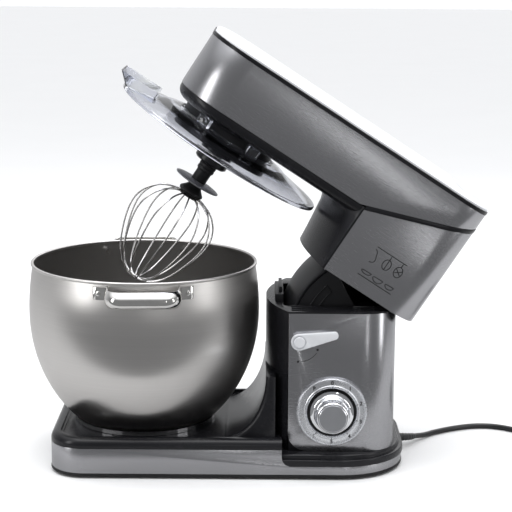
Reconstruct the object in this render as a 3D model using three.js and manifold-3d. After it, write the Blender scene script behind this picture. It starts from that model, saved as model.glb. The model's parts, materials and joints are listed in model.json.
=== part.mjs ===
// Tilt-head stand mixer with a lift-off bowl, a belt-driven planetary head and a balloon whisk.
// Millimetres, +Z up, front towards -X. The head is modelled level and then raised about its hinge.
import * as THREE from "three";
import { mergeVertices } from "three/addons/utils/BufferGeometryUtils.js";
import Module from "manifold-3d";

const wasm = await Module();
wasm.setup();

// ---- Clearances -----------------------------------------------------------------------------
const TOUCH = 0.4; // between two pieces that rest on each other
const RUN = 0.6; // around a shaft or a pin that turns
const SKIN = 1.5; // pressed steel sheet
const WALL = 3; // moulded plastic wall

// ---- Driving dimensions ---------------------------------------------------------------------
const counter = 0; // height of the surface that the mixer stands on
const driveX = -141.5; // the vertical drive axis, which is the bowl's axis too
const raised = THREE.MathUtils.degToRad(33); // how far the head is tilted back here

const bowl = { rim: 143, belly: 149, foot: 90, height: 204, bellyUp: 139, wall: 1.3, bead: 2, turn: 3.5 };
const bowlHandle = { span: 80, reach: 45, tall: 20, sheet: 2.6, below: 14, pitch: 108, rivet: 3.2 };
const lock = { thick: 5, inner: 76, lug: 5, lugThick: 2.2, lugAngle: 26, count: 3, outer: 91.6 };

const base = { reach: 114.5, half: 120, frontRadius: 45, rearRadius: 82, overhang: 13 };
const baseHeights = { foot: 2.4, cover: 3.6, band: 32.2, shoulder: 12.4, floor: 7.4 };
const shoulder = { rim: 11, recess: 14.5, run: 4 };
const foot = { radius: 11, inset: 34, height: 5 };

const column = { bowlGap: 8.5, depth: 164, half: 102, bow: 28, rearRadius: 40, top: 211.5, plate: WALL };
const plinth = { under: 17.7, step: 26, top: 32, proud: 1.6, back: 21 };
const flare = { run: 54, rise: 79, half: 94 };

const hinge = { setback: 30.3, up: 169.8, pin: 6, pinHalf: 74, eye: 17, bearing: 5 };
const tongue = { radius: 114, half: 62, bow: 12, cheek: 4, low: -46 };

const head = {
  gap: 5, reach: 84.8, half: 99, frontRadius: 62, rearRadius: 40, under: 36, band: 15, side: 71,
};
const headTop = { trim: 4, crown: 5.5, edge: 4 };
const neck = { forward: 4.5, lean: 7, nose: 28, slopeRise: 50 };
const trimWidth = 5.5;

const boss = { radius: 66.5, flareOut: 9, shoulderUp: 15 };
const ring = { teeth: 54, module: 2, width: 12, up: 8.5 };
const planetTeeth = 14;
const carrier = { thick: 5, hub: 12, shaft: 7, block: 22, blockDrop: 15.5 };
const mainGear = { teeth: 60, pinionTeeth: 12, module: 1.5, width: 8, up: 45 };
const chassis = { up: 63, thick: 4, half: 74 };
const belt = { thick: 2.4, width: 12, up: 77, driver: 9, driven: 42 };
const pulleyShaft = 5;
const motor = { x: 95, can: 44, rotor: 28, canUp: 8, wall: 2.5, shaft: 4, fan: 38 };

const output = { radius: 6, below: 44, pin: 2, pinHalf: 8.6, pinBelow: 30 };
const whiskHub = { stem: 9.8, top: 17.5, bottom: 61.5, flareRadius: 16.5, flareHeight: 12, socket: 46 };
const drip = { radius: 30.5, below: 43.5, thick: 1.6 };
const whisk = { loops: 6, wire: 1.1, belly: 58, floorGap: 12, plate: 13, plateThick: 3 };

const guard = { rim: 144, overBowl: 3.2, dome: 17, wall: 2.4, collar: 2.6, lip: 5 };
const chute = { half: 31, flareHalf: 39, inner: 100, front: 141, tip: 160, tall: 19, wall: 2.2 };

const lever = { x: 57.7, z: 174.1, hub: 10.5, arm: 44, end: 5, thick: 5.5, shaft: 4, tilt: 11 };
const dial = {
  x: 99.2, clear: 7.6, bezel: 44.7, bezelThick: 6, well: 31, knobSkirt: 28, knob: 20.8, knobTall: 26,
};
const speedSwitch = { wide: 42, deep: 20, shaft: 3.2 };
const board = { wide: 74, tall: 52, thick: 1.6, x: 96, z: 100, standoff: 8, post: 2.6 };

const cord = {
  radius: 3.5, coilRadius: 40, coilHalf: 7, coilTall: 14, coilX: 418, coilY: 94.5, exitY: 18, exitUp: 13,
};
const gland = { root: 6.2, tip: 4.3 };
const plug = { half: 23, length: 46, thick: 21, entryUp: 11.9, gap: 44, pinLength: 19 };
const tie = { half: 5, thick: 1 };

// ---- Places worked out from the sizes -------------------------------------------------------
const bandBottom = counter + baseHeights.foot + baseHeights.cover + TOUCH;
const bandTop = bandBottom + baseHeights.band;
const shoulderBottom = bandTop + TOUCH;
const deckTop = shoulderBottom + baseHeights.shoulder;
const deckFloor = shoulderBottom + baseHeights.floor;
const lockBottom = deckFloor + TOUCH;
const bowlBottom = lockBottom + lock.thick + TOUCH;
const bowlRim = bowlBottom + bowl.height;

const columnFront = driveX + bowl.belly + column.bowlGap;
const columnRear = columnFront + column.depth;
const steelFront = columnFront + column.bow; // where the column's steel sheet begins
const baseFront = driveX - base.reach;
const baseRear = columnRear + base.overhang;
const plinthFront = columnFront + plinth.back;
const hingeX = columnRear - hinge.setback;

const guardRim = bowlRim + guard.overBowl; // underside of the splash guard's rim
const bossBottom = bowlRim;
const headUnder = bossBottom + head.under; // underside of the head's housing
const headSteel = headUnder + head.band; // where the head's steel sheet begins
const headSteelTop = headSteel + head.side;
const headTopZ = headSteelTop + TOUCH + headTop.trim;
const headFront = driveX - head.reach;
const neckBottom = column.top + head.gap;
const dialUp = plinth.top + dial.clear + dial.bezel;
const slopeStart = steelFront - 6;

const gearRadius = (teeth, module) => (teeth * module) / 2;
const planetOffset = gearRadius(ring.teeth, ring.module) - gearRadius(planetTeeth, ring.module);
const planetY = -planetOffset;
const pinionX = driveX + gearRadius(mainGear.teeth, mainGear.module)
  + gearRadius(mainGear.pinionTeeth, mainGear.module);
const ringBottom = bossBottom + ring.up;
const ringOuter = gearRadius(ring.teeth, ring.module) + 8.2;
const chassisBottom = bossBottom + chassis.up;
const chassisTop = chassisBottom + chassis.thick;
const mainBottom = bossBottom + mainGear.up;
const beltBottom = bossBottom + belt.up;
const canBottom = neckBottom + WALL + motor.canUp;

const basePlan = {
  front: baseFront, rear: baseRear, half: base.half,
  frontRadius: base.frontRadius, rearRadius: base.rearRadius,
};
const columnPlan = {
  front: columnFront, rear: columnRear, half: column.half,
  bow: column.bow, rearRadius: column.rearRadius,
};
const headPlan = {
  front: headFront, rear: columnRear, half: head.half,
  frontRadius: head.frontRadius, rearRadius: head.rearRadius,
};
// The neck is bowed at the front and meets its steel sides at the same place at every height.
const neckPlan = (front) => ({
  front, rear: columnRear, half: head.half, bow: steelFront - 2 - front, rearRadius: head.rearRadius,
});

// ---- Colours and finishes -------------------------------------------------------------------
const finish = (color, roughness, metalness, extra = {}) =>
  new THREE.MeshStandardMaterial({ color, roughness, metalness, ...extra });
const steel = () => finish(0x8e8d90, 0.34, 1);
const bowlSteel = () => finish(0xa9a8a6, 0.26, 1);
const chrome = () => finish(0xd9dade, 0.08, 1);
const blackPlastic = () => finish(0x0d0d0f, 0.32, 0);
const greyPlastic = () => finish(0x3b3b40, 0.5, 0);
const silverPlastic = () => finish(0xe6e7ec, 0.35, 0.1);
const rubber = () => finish(0x17171a, 0.75, 0);
const clear = () => finish(0xe8edf6, 0.06, 0, { transparent: true, opacity: 0.3 });
const gearPlastic = () => finish(0xd8d2bf, 0.5, 0);
const ironGrey = () => finish(0x55565b, 0.5, 0.8);
const boardGreen = () => finish(0x2a5a3a, 0.6, 0);

// ---- Solids ---------------------------------------------------------------------------------
function toSolid(geometry) {
  const bare = geometry.clone();
  bare.deleteAttribute("normal");
  bare.deleteAttribute("uv");
  const merged = mergeVertices(bare, 1e-4);
  const triVerts = new Uint32Array(merged.index.array);
  const vertProperties = new Float32Array(merged.attributes.position.array);
  return new wasm.Manifold(new wasm.Mesh({ numProp: 3, vertProperties, triVerts }));
}

function toGeometry(solid) {
  const mesh = solid.getMesh();
  const positions = new Float32Array(mesh.numVert * 3);
  for (let i = 0; i < mesh.numVert; i++) {
    const from = i * mesh.numProp;
    positions.set(mesh.vertProperties.subarray(from, from + 3), i * 3);
  }
  const geometry = new THREE.BufferGeometry();
  geometry.setAttribute("position", new THREE.BufferAttribute(positions, 3));
  geometry.setIndex(new THREE.BufferAttribute(new Uint32Array(mesh.triVerts), 1));
  const flat = geometry.toNonIndexed();
  flat.computeVertexNormals();
  return flat;
}

const join = (first, ...others) => others.reduce((a, b) => a.add(b), first);
const cut = (first, ...others) => others.reduce((a, b) => a.subtract(b), first);
const common = (a, b) => a.intersect(b);

// An upright prism over a plan outline.
function prism(points, low, high) {
  const shape = new THREE.Shape(points);
  const geometry = new THREE.ExtrudeGeometry(shape, { depth: high - low, bevelEnabled: false });
  return toSolid(geometry.translate(0, 0, low));
}

// A prism whose outline lies in the X-Z plane, running across the mixer.
function sidePrism(points, low, high) {
  const shape = new THREE.Shape(points.map(([x, z]) => new THREE.Vector2(x, z)));
  const geometry = new THREE.ExtrudeGeometry(shape, { depth: high - low, bevelEnabled: false });
  return toSolid(geometry.rotateX(Math.PI / 2).translate(0, high, 0));
}

function block(x0, x1, y0, y1, z0, z1) {
  const geometry = new THREE.BoxGeometry(x1 - x0, y1 - y0, z1 - z0);
  return toSolid(geometry.translate((x0 + x1) / 2, (y0 + y1) / 2, (z0 + z1) / 2));
}

// An upright round bar, or one that runs across the mixer.
function bar(radius, low, high, x = 0, y = 0, sides = 24) {
  const geometry = new THREE.CylinderGeometry(radius, radius, high - low, sides);
  return toSolid(geometry.rotateX(Math.PI / 2).translate(x, y, (low + high) / 2));
}

function crossBar(radius, y0, y1, x, z, sides = 24) {
  const geometry = new THREE.CylinderGeometry(radius, radius, y1 - y0, sides);
  return toSolid(geometry.translate(x, (y0 + y1) / 2, z));
}

// A solid of revolution: [radius, height] pairs, counter-clockwise with the radius to the right.
function lathe(profile, sides) {
  return new THREE.LatheGeometry(profile.map(([r, h]) => new THREE.Vector2(r, h)), sides);
}
const closed = (profile) => [...profile, profile[0]];
const turned = (profile, sides = 48, x = 0, y = 0) =>
  toSolid(lathe(profile, sides).rotateX(Math.PI / 2).translate(x, y, 0));
// The same, standing out of the mixer's near side: heights are measured outwards from y.
const turnedOut = (profile, sides, x, y, z) =>
  toSolid(lathe(profile, sides).rotateX(Math.PI).translate(x, y, z));

// Rings of points with equal counts, one above the other, skinned and capped.
function loft(rings) {
  const count = rings[0].length;
  const positions = rings.flat().flatMap((p) => [p.x, p.y, p.z]);
  const index = [];
  for (let r = 0; r + 1 < rings.length; r++) {
    for (let i = 0; i < count; i++) {
      const a = r * count + i;
      const b = r * count + ((i + 1) % count);
      index.push(a, b, b + count, a, b + count, a + count);
    }
  }
  const cap = (ring, start, up) => {
    const flat = ring.map((p) => new THREE.Vector2(p.x, p.y));
    for (const [a, b, c] of THREE.ShapeUtils.triangulateShape(flat, [])) {
      index.push(start + a, start + (up ? b : c), start + (up ? c : b));
    }
  };
  cap(rings[0], 0, false);
  cap(rings.at(-1), (rings.length - 1) * count, true);
  const geometry = new THREE.BufferGeometry();
  geometry.setAttribute("position", new THREE.Float32BufferAttribute(positions, 3));
  geometry.setIndex(index);
  return toSolid(geometry);
}

// A round or shaped section carried along a curve.
function swept(points, radius, sides, steps, isClosed = false) {
  const section = new THREE.Shape();
  for (let i = 0; i < sides; i++) {
    const angle = (i / sides) * 2 * Math.PI;
    const [x, y] = [radius * Math.cos(angle), radius * Math.sin(angle)];
    if (i) section.lineTo(x, y);
    else section.moveTo(x, y);
  }
  const path = new THREE.CatmullRomCurve3(points, isClosed);
  return toSolid(new THREE.ExtrudeGeometry(section, { steps, bevelEnabled: false, extrudePath: path }));
}

// Plan outline with round rear corners and either round front corners or one bowed front.
const BOW_STEPS = 7;
const CORNER_STEPS = 4;
function planOutline(plan, inset = 0) {
  const points = [];
  const arc = (x, y, radius, from, to, steps) => {
    for (let i = 0; i <= steps; i++) {
      const angle = from + ((to - from) * i) / steps;
      points.push(new THREE.Vector2(x + radius * Math.cos(angle), y + radius * Math.sin(angle)));
    }
  };
  const half = plan.half - inset;
  if (plan.bow) {
    const sweep = (plan.half ** 2 + plan.bow ** 2) / (2 * plan.bow);
    const angle = Math.asin(half / (sweep - inset));
    arc(plan.front + sweep, 0, sweep - inset, Math.PI - angle, Math.PI + angle, BOW_STEPS);
  } else {
    const x = plan.front + plan.frontRadius;
    const y = plan.half - plan.frontRadius;
    arc(x, y, plan.frontRadius - inset, Math.PI / 2, Math.PI, CORNER_STEPS);
    arc(x, -y, plan.frontRadius - inset, Math.PI, 1.5 * Math.PI, CORNER_STEPS);
  }
  const x = plan.rear - plan.rearRadius;
  const y = plan.half - plan.rearRadius;
  arc(x, -y, plan.rearRadius - inset, -Math.PI / 2, 0, CORNER_STEPS);
  arc(x, y, plan.rearRadius - inset, 0, Math.PI / 2, CORNER_STEPS);
  return points;
}
const at = (points, z) => points.map((p) => new THREE.Vector3(p.x, p.y, z));
const planPrism = (plan, inset, low, high) => prism(planOutline(plan, inset), low, high);
// [inset, height] pairs from the bottom up.
const planLoft = (plan, levels) => loft(levels.map(([inset, z]) => at(planOutline(plan, inset), z)));

// Straight-flanked gear teeth, slimmed for backlash. A ring gear's teeth point inwards.
function toothPoints(teeth, module, inward = false) {
  const pitch = gearRadius(teeth, module);
  const side = inward ? -1 : 1;
  const tip = pitch + side * 0.8 * module;
  const root = pitch - side * 1.1 * module;
  const step = (2 * Math.PI) / teeth;
  const points = [];
  for (let i = 0; i < teeth; i++) {
    for (const [radius, share] of [[root, -0.27], [tip, -0.11], [tip, 0.11], [root, 0.27]]) {
      const angle = step * (i + share);
      points.push(new THREE.Vector2(radius * Math.cos(angle), radius * Math.sin(angle)));
    }
  }
  return points;
}
// One tooth points along +X before the turn. A bore of 0 leaves the gear solid.
function gear(teeth, module, low, width, bore, turn = 0) {
  const body = prism(toothPoints(teeth, module), low, low + width);
  const bored = bore ? cut(body, bar(bore, low - 1, low + width + 1)) : body;
  return bored.rotate([0, 0, turn]);
}

// ---- The scene graph ------------------------------------------------------------------------
const part = new THREE.Group();
const headTilt = new THREE.Group();
headTilt.position.set(hingeX, 0, hinge.up);
headTilt.rotation.y = raised;
const headGroup = new THREE.Group();
headGroup.position.set(-hingeX, 0, -hinge.up);
headTilt.add(headGroup);
const bowlGroup = new THREE.Group();
bowlGroup.position.x = driveX;
bowlGroup.rotation.z = THREE.MathUtils.degToRad(bowl.turn);
part.add(headTilt, bowlGroup);

function add(group, name, solid, material) {
  const mesh = new THREE.Mesh(toGeometry(solid), material);
  mesh.name = name;
  group.add(mesh);
}

// ---- Base -----------------------------------------------------------------------------------
const behindPlinth = (low, high) =>
  block(plinthFront, baseRear + 20, -base.half - 20, base.half + 20, low, high);

function baseBand() {
  const sheet = cut(
    planPrism(basePlan, 0, bandBottom, bandTop),
    planPrism(basePlan, SKIN, bandBottom - 1, bandTop + 1),
  );
  return cut(sheet, behindPlinth(plinth.under - TOUCH, bandTop + 1), cordExit());
}

// The hole for the cord's strain relief in the base's rear end.
const cordExit = () => endBar(gland.root + TOUCH, baseRear - 20, baseRear + 8, cord.exitY, cord.exitUp);

// The ramp that sweeps up from the deck into the column's front; a larger inset is its hollow.
function flareSolid(inset) {
  const front = columnFront - flare.run + 2 * inset;
  const low = deckFloor - 1 - inset;
  const rise = flare.rise - 2 * inset;
  const points = [[columnFront + 8, low], [columnFront + 8, deckFloor - inset + rise]];
  const steps = 9;
  for (let i = 0; i <= steps; i++) {
    const angle = (i / steps) * (Math.PI / 2);
    const x = front + (columnFront - front) * Math.cos(angle);
    points.push([x, deckFloor - inset + rise * (1 - Math.sin(angle))]);
  }
  points.push([front, low]);
  return sidePrism(points.reverse(), inset - flare.half, flare.half - inset);
}

// The raised middle of the deck, whose tabs hold down the lugs of the bowl's ring.
function lockTurret() {
  const radius = lock.inner - lock.lug - TOUCH;
  const top = lockBottom + lock.thick - TOUCH;
  let turret = bar(radius, deckFloor - 1, top, 0, 0, 40);
  const reach = lock.inner - TOUCH;
  const width = radius * Math.tan(THREE.MathUtils.degToRad(lock.lugAngle / 2));
  for (let i = 0; i < lock.count; i++) {
    const tab = common(
      block(radius - 3, reach, -width, width, lockBottom + lock.lugThick + TOUCH, top),
      bar(reach, deckFloor, top + 1, 0, 0, 40),
    );
    turret = join(turret, tab.rotate([0, 0, bowl.turn + (i * 360) / lock.count]));
  }
  return turret.translate([driveX, 0, 0]);
}

function baseDeck() {
  const inside = SKIN + TOUCH;
  const skirt = planPrism(basePlan, inside, bandBottom, shoulderBottom + 1);
  const rim = planLoft(basePlan, [
    [0, shoulderBottom],
    [0.6, shoulderBottom + 4],
    [3.5, deckTop - 3.6],
    [9, deckTop - 0.9],
    [shoulder.rim, deckTop],
  ]);
  const recess = planLoft(basePlan, [
    [shoulder.recess + shoulder.run, deckFloor],
    [shoulder.recess, deckTop + 0.5],
  ]);
  const hollow = planPrism(basePlan, inside + WALL, bandBottom - 1, deckFloor - WALL);
  let deck = cut(join(skirt, rim), recess, hollow);
  deck = join(cut(join(deck, flareSolid(0)), flareSolid(WALL)), lockTurret());
  const columnHole = planPrism(columnPlan, -TOUCH, bandBottom - 1, column.top);
  return cut(deck, columnHole, behindPlinth(bandBottom - 1, column.top));
}

function bottomCover() {
  const low = counter + baseHeights.foot;
  let cover = planLoft(basePlan, [[1.5, low], [-0.6, low + 1.4], [-0.6, low + baseHeights.cover]]);
  for (const [x, y] of footPlaces()) {
    cover = cut(cover, bar(foot.radius + TOUCH, counter, low + 3, x, y));
  }
  return cover;
}

function footPlaces() {
  const y = base.half - foot.inset;
  return [[baseFront + foot.inset, -y], [baseFront + foot.inset, y],
    [baseRear - foot.inset, -y + 14], [baseRear - foot.inset, y - 14]];
}

function rubberFoot(x, y) {
  return turned([
    [0, counter],
    [foot.radius - 1, counter],
    [foot.radius, counter + 1],
    [foot.radius - 1, counter + foot.height],
    [0, counter + foot.height],
  ], 16, x, y);
}

function plinthRing() {
  const skirt = planLoft(basePlan, [
    [-plinth.proud, plinth.under],
    [-plinth.proud, plinth.step - 1],
    [0, plinth.step],
    [3.2, plinth.step + 0.6],
    [3.6, plinth.top - 1.5],
    [5, plinth.top],
  ]);
  const rearPart = common(skirt, behindPlinth(0, plinth.top + 1));
  const footing = planPrism(columnPlan, 0, plinth.top - WALL, plinth.top);
  const hollow = planPrism(basePlan, WALL + 4, 0, plinth.top - WALL);
  const well = planPrism(columnPlan, 14, 0, plinth.top + 1);
  return cut(join(rearPart, footing), hollow, well, cordExit());
}

// ---- Column ---------------------------------------------------------------------------------
const frontColumn = (low, high) =>
  block(columnFront - 10, steelFront - TOUCH, -column.half - 5, column.half + 5, low, high);
const columnLow = plinth.top + TOUCH;
const frameInset = SKIN + TOUCH;
const lipLow = column.top - 1.6;

function columnWrap() {
  const sheet = cut(
    planPrism(columnPlan, 0, columnLow, lipLow - TOUCH),
    planPrism(columnPlan, SKIN, columnLow - 1, column.top),
  );
  const clipped = cut(sheet, block(columnFront - 5, steelFront, -110, 110, 0, column.top));
  const round = 24;
  const corner = [];
  for (let i = 0; i <= 6; i++) {
    const angle = Math.PI + (i / 6) * (Math.PI / 2);
    corner.push([steelFront + round * (1 + Math.cos(angle)), columnLow + round * (1 + Math.sin(angle))]);
  }
  const outside = sidePrism([[steelFront - 1, columnLow - 1], [steelFront + round, columnLow - 1],
    ...corner.reverse(), [steelFront - 1, columnLow + round]], -column.half - 3, column.half + 3);
  const dialHole = crossBar(dial.well, -column.half - 5, 0, dial.x, dialUp, 36);
  const leverHole = crossBar(lever.shaft + RUN + 1, -column.half - 5, 0, lever.x, lever.z);
  return cut(clipped, outside, dialHole, leverHole);
}

// A bar along X.
function endBar(radius, x0, x1, y, z, sides = 20) {
  const geometry = new THREE.CylinderGeometry(radius, radius, x1 - x0, sides);
  return toSolid(geometry.rotateZ(Math.PI / 2).translate((x0 + x1) / 2, y, z));
}

function columnFrame() {
  const inner = frameInset + WALL;
  const liner = planPrism(columnPlan, frameInset, columnLow, column.top);
  const bowed = common(planPrism(columnPlan, 0, columnLow, column.top), frontColumn(0, column.top + 1));
  const lip = planPrism(columnPlan, 0, lipLow, column.top);
  const cavity = planPrism(columnPlan, inner, columnLow - 1, column.top - column.plate);
  const openFront = hingeX - tongue.radius + 2.2;
  const opening = block(openFront, columnRear - inner, -tongue.half - 5, tongue.half + 5,
    column.top - 10, column.top + 1);
  let frame = cut(join(liner, bowed, lip), cavity, opening);
  for (const side of [-1, 1]) {
    const y = side * (tongue.half + 5);
    const plate = sidePrism(bearingOutline(), Math.min(y, y + side * hinge.bearing),
      Math.max(y, y + side * hinge.bearing));
    frame = join(frame, common(plate, liner));
  }
  for (const dx of [-1, 1]) {
    for (const dz of [-1, 1]) {
      const x = board.x + dx * (board.wide / 2 - 6);
      const z = board.z + dz * (board.tall / 2 - 6);
      frame = join(frame, crossBar(board.post, boardFace() + TOUCH, column.half - inner + 1, x, z, 6));
    }
  }
  const dialHole = crossBar(dial.well - 2, -column.half - 5, 0, dial.x, dialUp, 36);
  const leverHole = crossBar(lever.shaft + RUN, -column.half - 5, 0, lever.x, lever.z);
  const pinHole = crossBar(hinge.pin + TOUCH, -90, 90, hingeX, hinge.up);
  return cut(frame, dialHole, leverHole, pinHole);
}

// Side outline of the two plates that carry the hinge pin from the column's rear wall.
function bearingOutline() {
  const rear = columnRear - frameInset - WALL + 1;
  const top = hinge.up + hinge.eye;
  return [[hingeX - hinge.eye, hinge.up - 6], [hingeX + 6, hinge.up - 60], [rear, hinge.up - 60],
    [rear, top], [hingeX - 4, top], [hingeX - hinge.eye, hinge.up + 8]];
}
const boardFace = () => column.half - frameInset - WALL - board.standoff;

function controlBoard() {
  const y = boardFace();
  return block(board.x - board.wide / 2, board.x + board.wide / 2, y - board.thick, y,
    board.z - board.tall / 2, board.z + board.tall / 2);
}

// ---- Speed dial, which faces the near side --------------------------------------------------
const nearFace = -column.half - TOUCH;

function dialBezel() {
  const t = dial.bezelThick;
  return turnedOut(closed([
    [dial.well, 0],
    [dial.bezel - 1, 0],
    [dial.bezel, 1.2],
    [dial.bezel - 2.6, t - 0.8],
    [dial.well + 4, t],
    [dial.well + 1.5, t - 1],
    [dial.well, t - 2.4],
  ]), 30, dial.x, nearFace, dialUp);
}

// Black dished plate behind the knob, set into the column's wall.
function dialWell() {
  const rim = dial.well - TOUCH;
  return turnedOut(closed([
    [speedSwitch.shaft + RUN, -1.5],
    [rim - 3.4, -1.5],
    [rim - 3.4, 0.4],
    [rim, 0.4],
    [rim, 2.6],
    [rim - 2, 2.6],
    [rim - 2.6, 0.8],
    [speedSwitch.shaft + RUN, 0.8],
  ]), 30, dial.x, nearFace, dialUp);
}

function knobBody() {
  const out = dial.bezelThick;
  return turnedOut([
    [0, -12],
    [speedSwitch.shaft, -12],
    [speedSwitch.shaft, 1.6],
    [dial.knobSkirt - 1.5, 1.6],
    [dial.knobSkirt, 3],
    [dial.knobSkirt - 1, out + 1],
    [dial.knob + 2, out + 3],
    [dial.knob, out + 6],
    [dial.knob - 0.8, out + dial.knobTall - 1.4],
    [dial.knob - 2.4, out + dial.knobTall],
    [dial.knob - 3.4, out + dial.knobTall],
    [dial.knob - 3.4, out + dial.knobTall - 1.2],
    [0, out + dial.knobTall - 1.2],
  ], 24, dial.x, nearFace, dialUp);
}

function knobFace() {
  const top = dial.bezelThick + dial.knobTall;
  const radius = dial.knob - 3.4 - TOUCH;
  const low = top - 1.2 + TOUCH;
  return turnedOut([[0, low], [radius, low], [radius, top + 0.3], [radius - 1, top + 0.6], [0, top + 0.2]],
    40, dial.x, nearFace, dialUp);
}

function switchBody() {
  const outer = frameInset + WALL + TOUCH - column.half;
  const half = speedSwitch.wide / 2;
  const inner = outer + speedSwitch.deep;
  const body = block(dial.x - half, dial.x + half, outer, inner, dialUp - half, dialUp + half);
  return cut(body, crossBar(speedSwitch.shaft + RUN, outer - 1, nearFace + 13, dial.x, dialUp));
}

// ---- Head lock lever ------------------------------------------------------------------------
function leverArm() {
  const angle = THREE.MathUtils.degToRad(lever.tilt);
  const steps = 12;
  const points = [];
  const round = (cx, radius, from, to) => {
    for (let i = 0; i <= steps; i++) {
      const a = from + ((to - from) * i) / steps;
      points.push([cx + radius * Math.cos(a), radius * Math.sin(a)]);
    }
  };
  round(0, lever.hub, Math.PI * 0.42, Math.PI * 1.58);
  round(lever.arm, lever.end, -Math.PI / 2, Math.PI / 2);
  const [c, s] = [Math.cos(angle), Math.sin(angle)];
  const placed = points.map(([x, z]) => [lever.x + x * c - z * s, lever.z + x * s + z * c]);
  const plate = sidePrism(placed, nearFace - lever.thick, nearFace);
  const shaft = crossBar(lever.shaft, nearFace - 1, leverEnd, lever.x, lever.z, 16);
  const pocket = crossBar(lever.hub - 3, nearFace - lever.thick - 1, nearFace - lever.thick + 1.4,
    lever.x, lever.z);
  const cam = sidePrism([[lever.x - 7, lever.z - 7], [lever.x + 7, lever.z - 7], [lever.x + 7, lever.z + 16],
    [lever.x - 7, lever.z + 16]], leverEnd - 3, leverEnd);
  return cut(join(plate, shaft, cam), pocket);
}
const leverEnd = -tongue.half - 2.5; // the lever's shaft stops just short of the tongue's cheek

function leverCap() {
  const low = lever.thick - 1.4 + TOUCH;
  const radius = lever.hub - 3 - TOUCH;
  return turnedOut([
    [0, low], [radius, low], [radius, lever.thick + 0.4],
    [radius - 0.9, lever.thick + 1], [0, lever.thick + 1.2],
  ],
    24, lever.x, nearFace, lever.z);
}

// ---- Head -----------------------------------------------------------------------------------
const neckSplit = steelFront + TOUCH; // the neck's black front ends where its steel begins
const housingRear = columnFront - neck.nose; // where the head's housing meets the neck
const slope = (x) => headSteel + ((x - slopeStart) * neck.slopeRise) / (columnRear - slopeStart);
const beyond = columnRear + 40;
// Everything under a line that runs level to the neck and then climbs to the rear.
const underSlope = (lift) =>
  sidePrism([[headFront - 20, 0], [beyond, 0], [beyond, slope(beyond) + lift],
    [slopeStart, headSteel + lift], [headFront - 20, headSteel + lift]], -150, 150);

function headWrap() {
  const sheet = cut(
    planPrism(headPlan, 0, headSteel, headSteelTop),
    planPrism(headPlan, SKIN, headSteel - 1, headSteelTop + 1),
  );
  return cut(sheet, underSlope(TOUCH));
}

function headHousing() {
  const wallTop = headSteelTop - 2;
  const tray = planLoft(headPlan, [
    [22, headUnder],
    [12, headUnder + 1.4],
    [3.4, headUnder + 7],
    [0.6, headSteel - 2],
    [0.6, headSteel - TOUCH],
  ]);
  const liner = planPrism(headPlan, SKIN + TOUCH, headSteel - 1, wallTop);
  const hollow = planPrism(headPlan, SKIN + TOUCH + WALL, headUnder + WALL + 8, headSteelTop);
  const lowHollow = planPrism(headPlan, 24, headUnder + WALL, headSteelTop);
  const outer = turned([
    [0, bossBottom],
    [boss.radius, bossBottom],
    [boss.radius, bossBottom + boss.shoulderUp],
    [boss.radius - 2.4, bossBottom + boss.shoulderUp + 1],
    [boss.radius - 2.4, headUnder - boss.flareOut],
    [boss.radius + 2, headUnder - 3],
    [boss.radius + boss.flareOut, headUnder + 1],
    [0, headUnder + 1],
  ], 36, driveX);
  const gearWell = bar(ringOuter + TOUCH, bossBottom - 1, ringBottom + ring.width + TOUCH, driveX, 0, 36);
  const upperWell = bar(ringOuter - 10, ringBottom, headUnder + WALL + 1, driveX, 0, 36);
  let housing = cut(join(tray, liner), hollow, lowHollow);
  housing = cut(join(housing, outer), gearWell, upperWell);
  for (const [x, y] of postPlaces()) {
    housing = join(housing, bar(5, headUnder + WALL - 1, chassisBottom - TOUCH, x, y, 8));
  }
  return cut(housing, planPrism(neckPlan(housingRear + TOUCH), -TOUCH, 0, headTopZ));
}
const postPlaces = () => [-1, 1].flatMap((side) =>
  [[driveX - 50, side * (chassis.half - 10)], [housingRear - 14, side * (chassis.half - 10)]]);

function headTrim() {
  const low = headSteelTop + TOUCH;
  return cut(
    planLoft(headPlan, [[-0.7, low], [-0.7, low + headTop.trim - 1], [0.4, low + headTop.trim]]),
    planPrism(headPlan, headTop.edge, low - 1, headTopZ + 1),
  );
}

function topCover() {
  const low = headTopZ + TOUCH;
  const dome = planLoft(headPlan, [
    [1, low],
    [1.6, low + 1.6],
    [5, low + 3],
    [16, low + headTop.crown - 1],
    [40, low + headTop.crown],
  ]);
  const inside = SKIN + TOUCH + WALL + TOUCH;
  const skirt = planPrism(headPlan, inside, low - 9, low + 1);
  const hollow = planPrism(headPlan, inside + WALL, low - 10, low + 1.4);
  return cut(join(dome, skirt), hollow);
}

function midTrim() {
  const band = cut(underSlope(0), underSlope(-trimWidth));
  const strip = cut(
    planPrism(headPlan, -0.6, headUnder, headTopZ),
    planPrism(headPlan, SKIN + TOUCH, headUnder - 1, headTopZ + 1),
  );
  const behind = block(neckSplit, beyond, -130, 130, 0, headTopZ + 10);
  return common(common(strip, band), behind);
}

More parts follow.
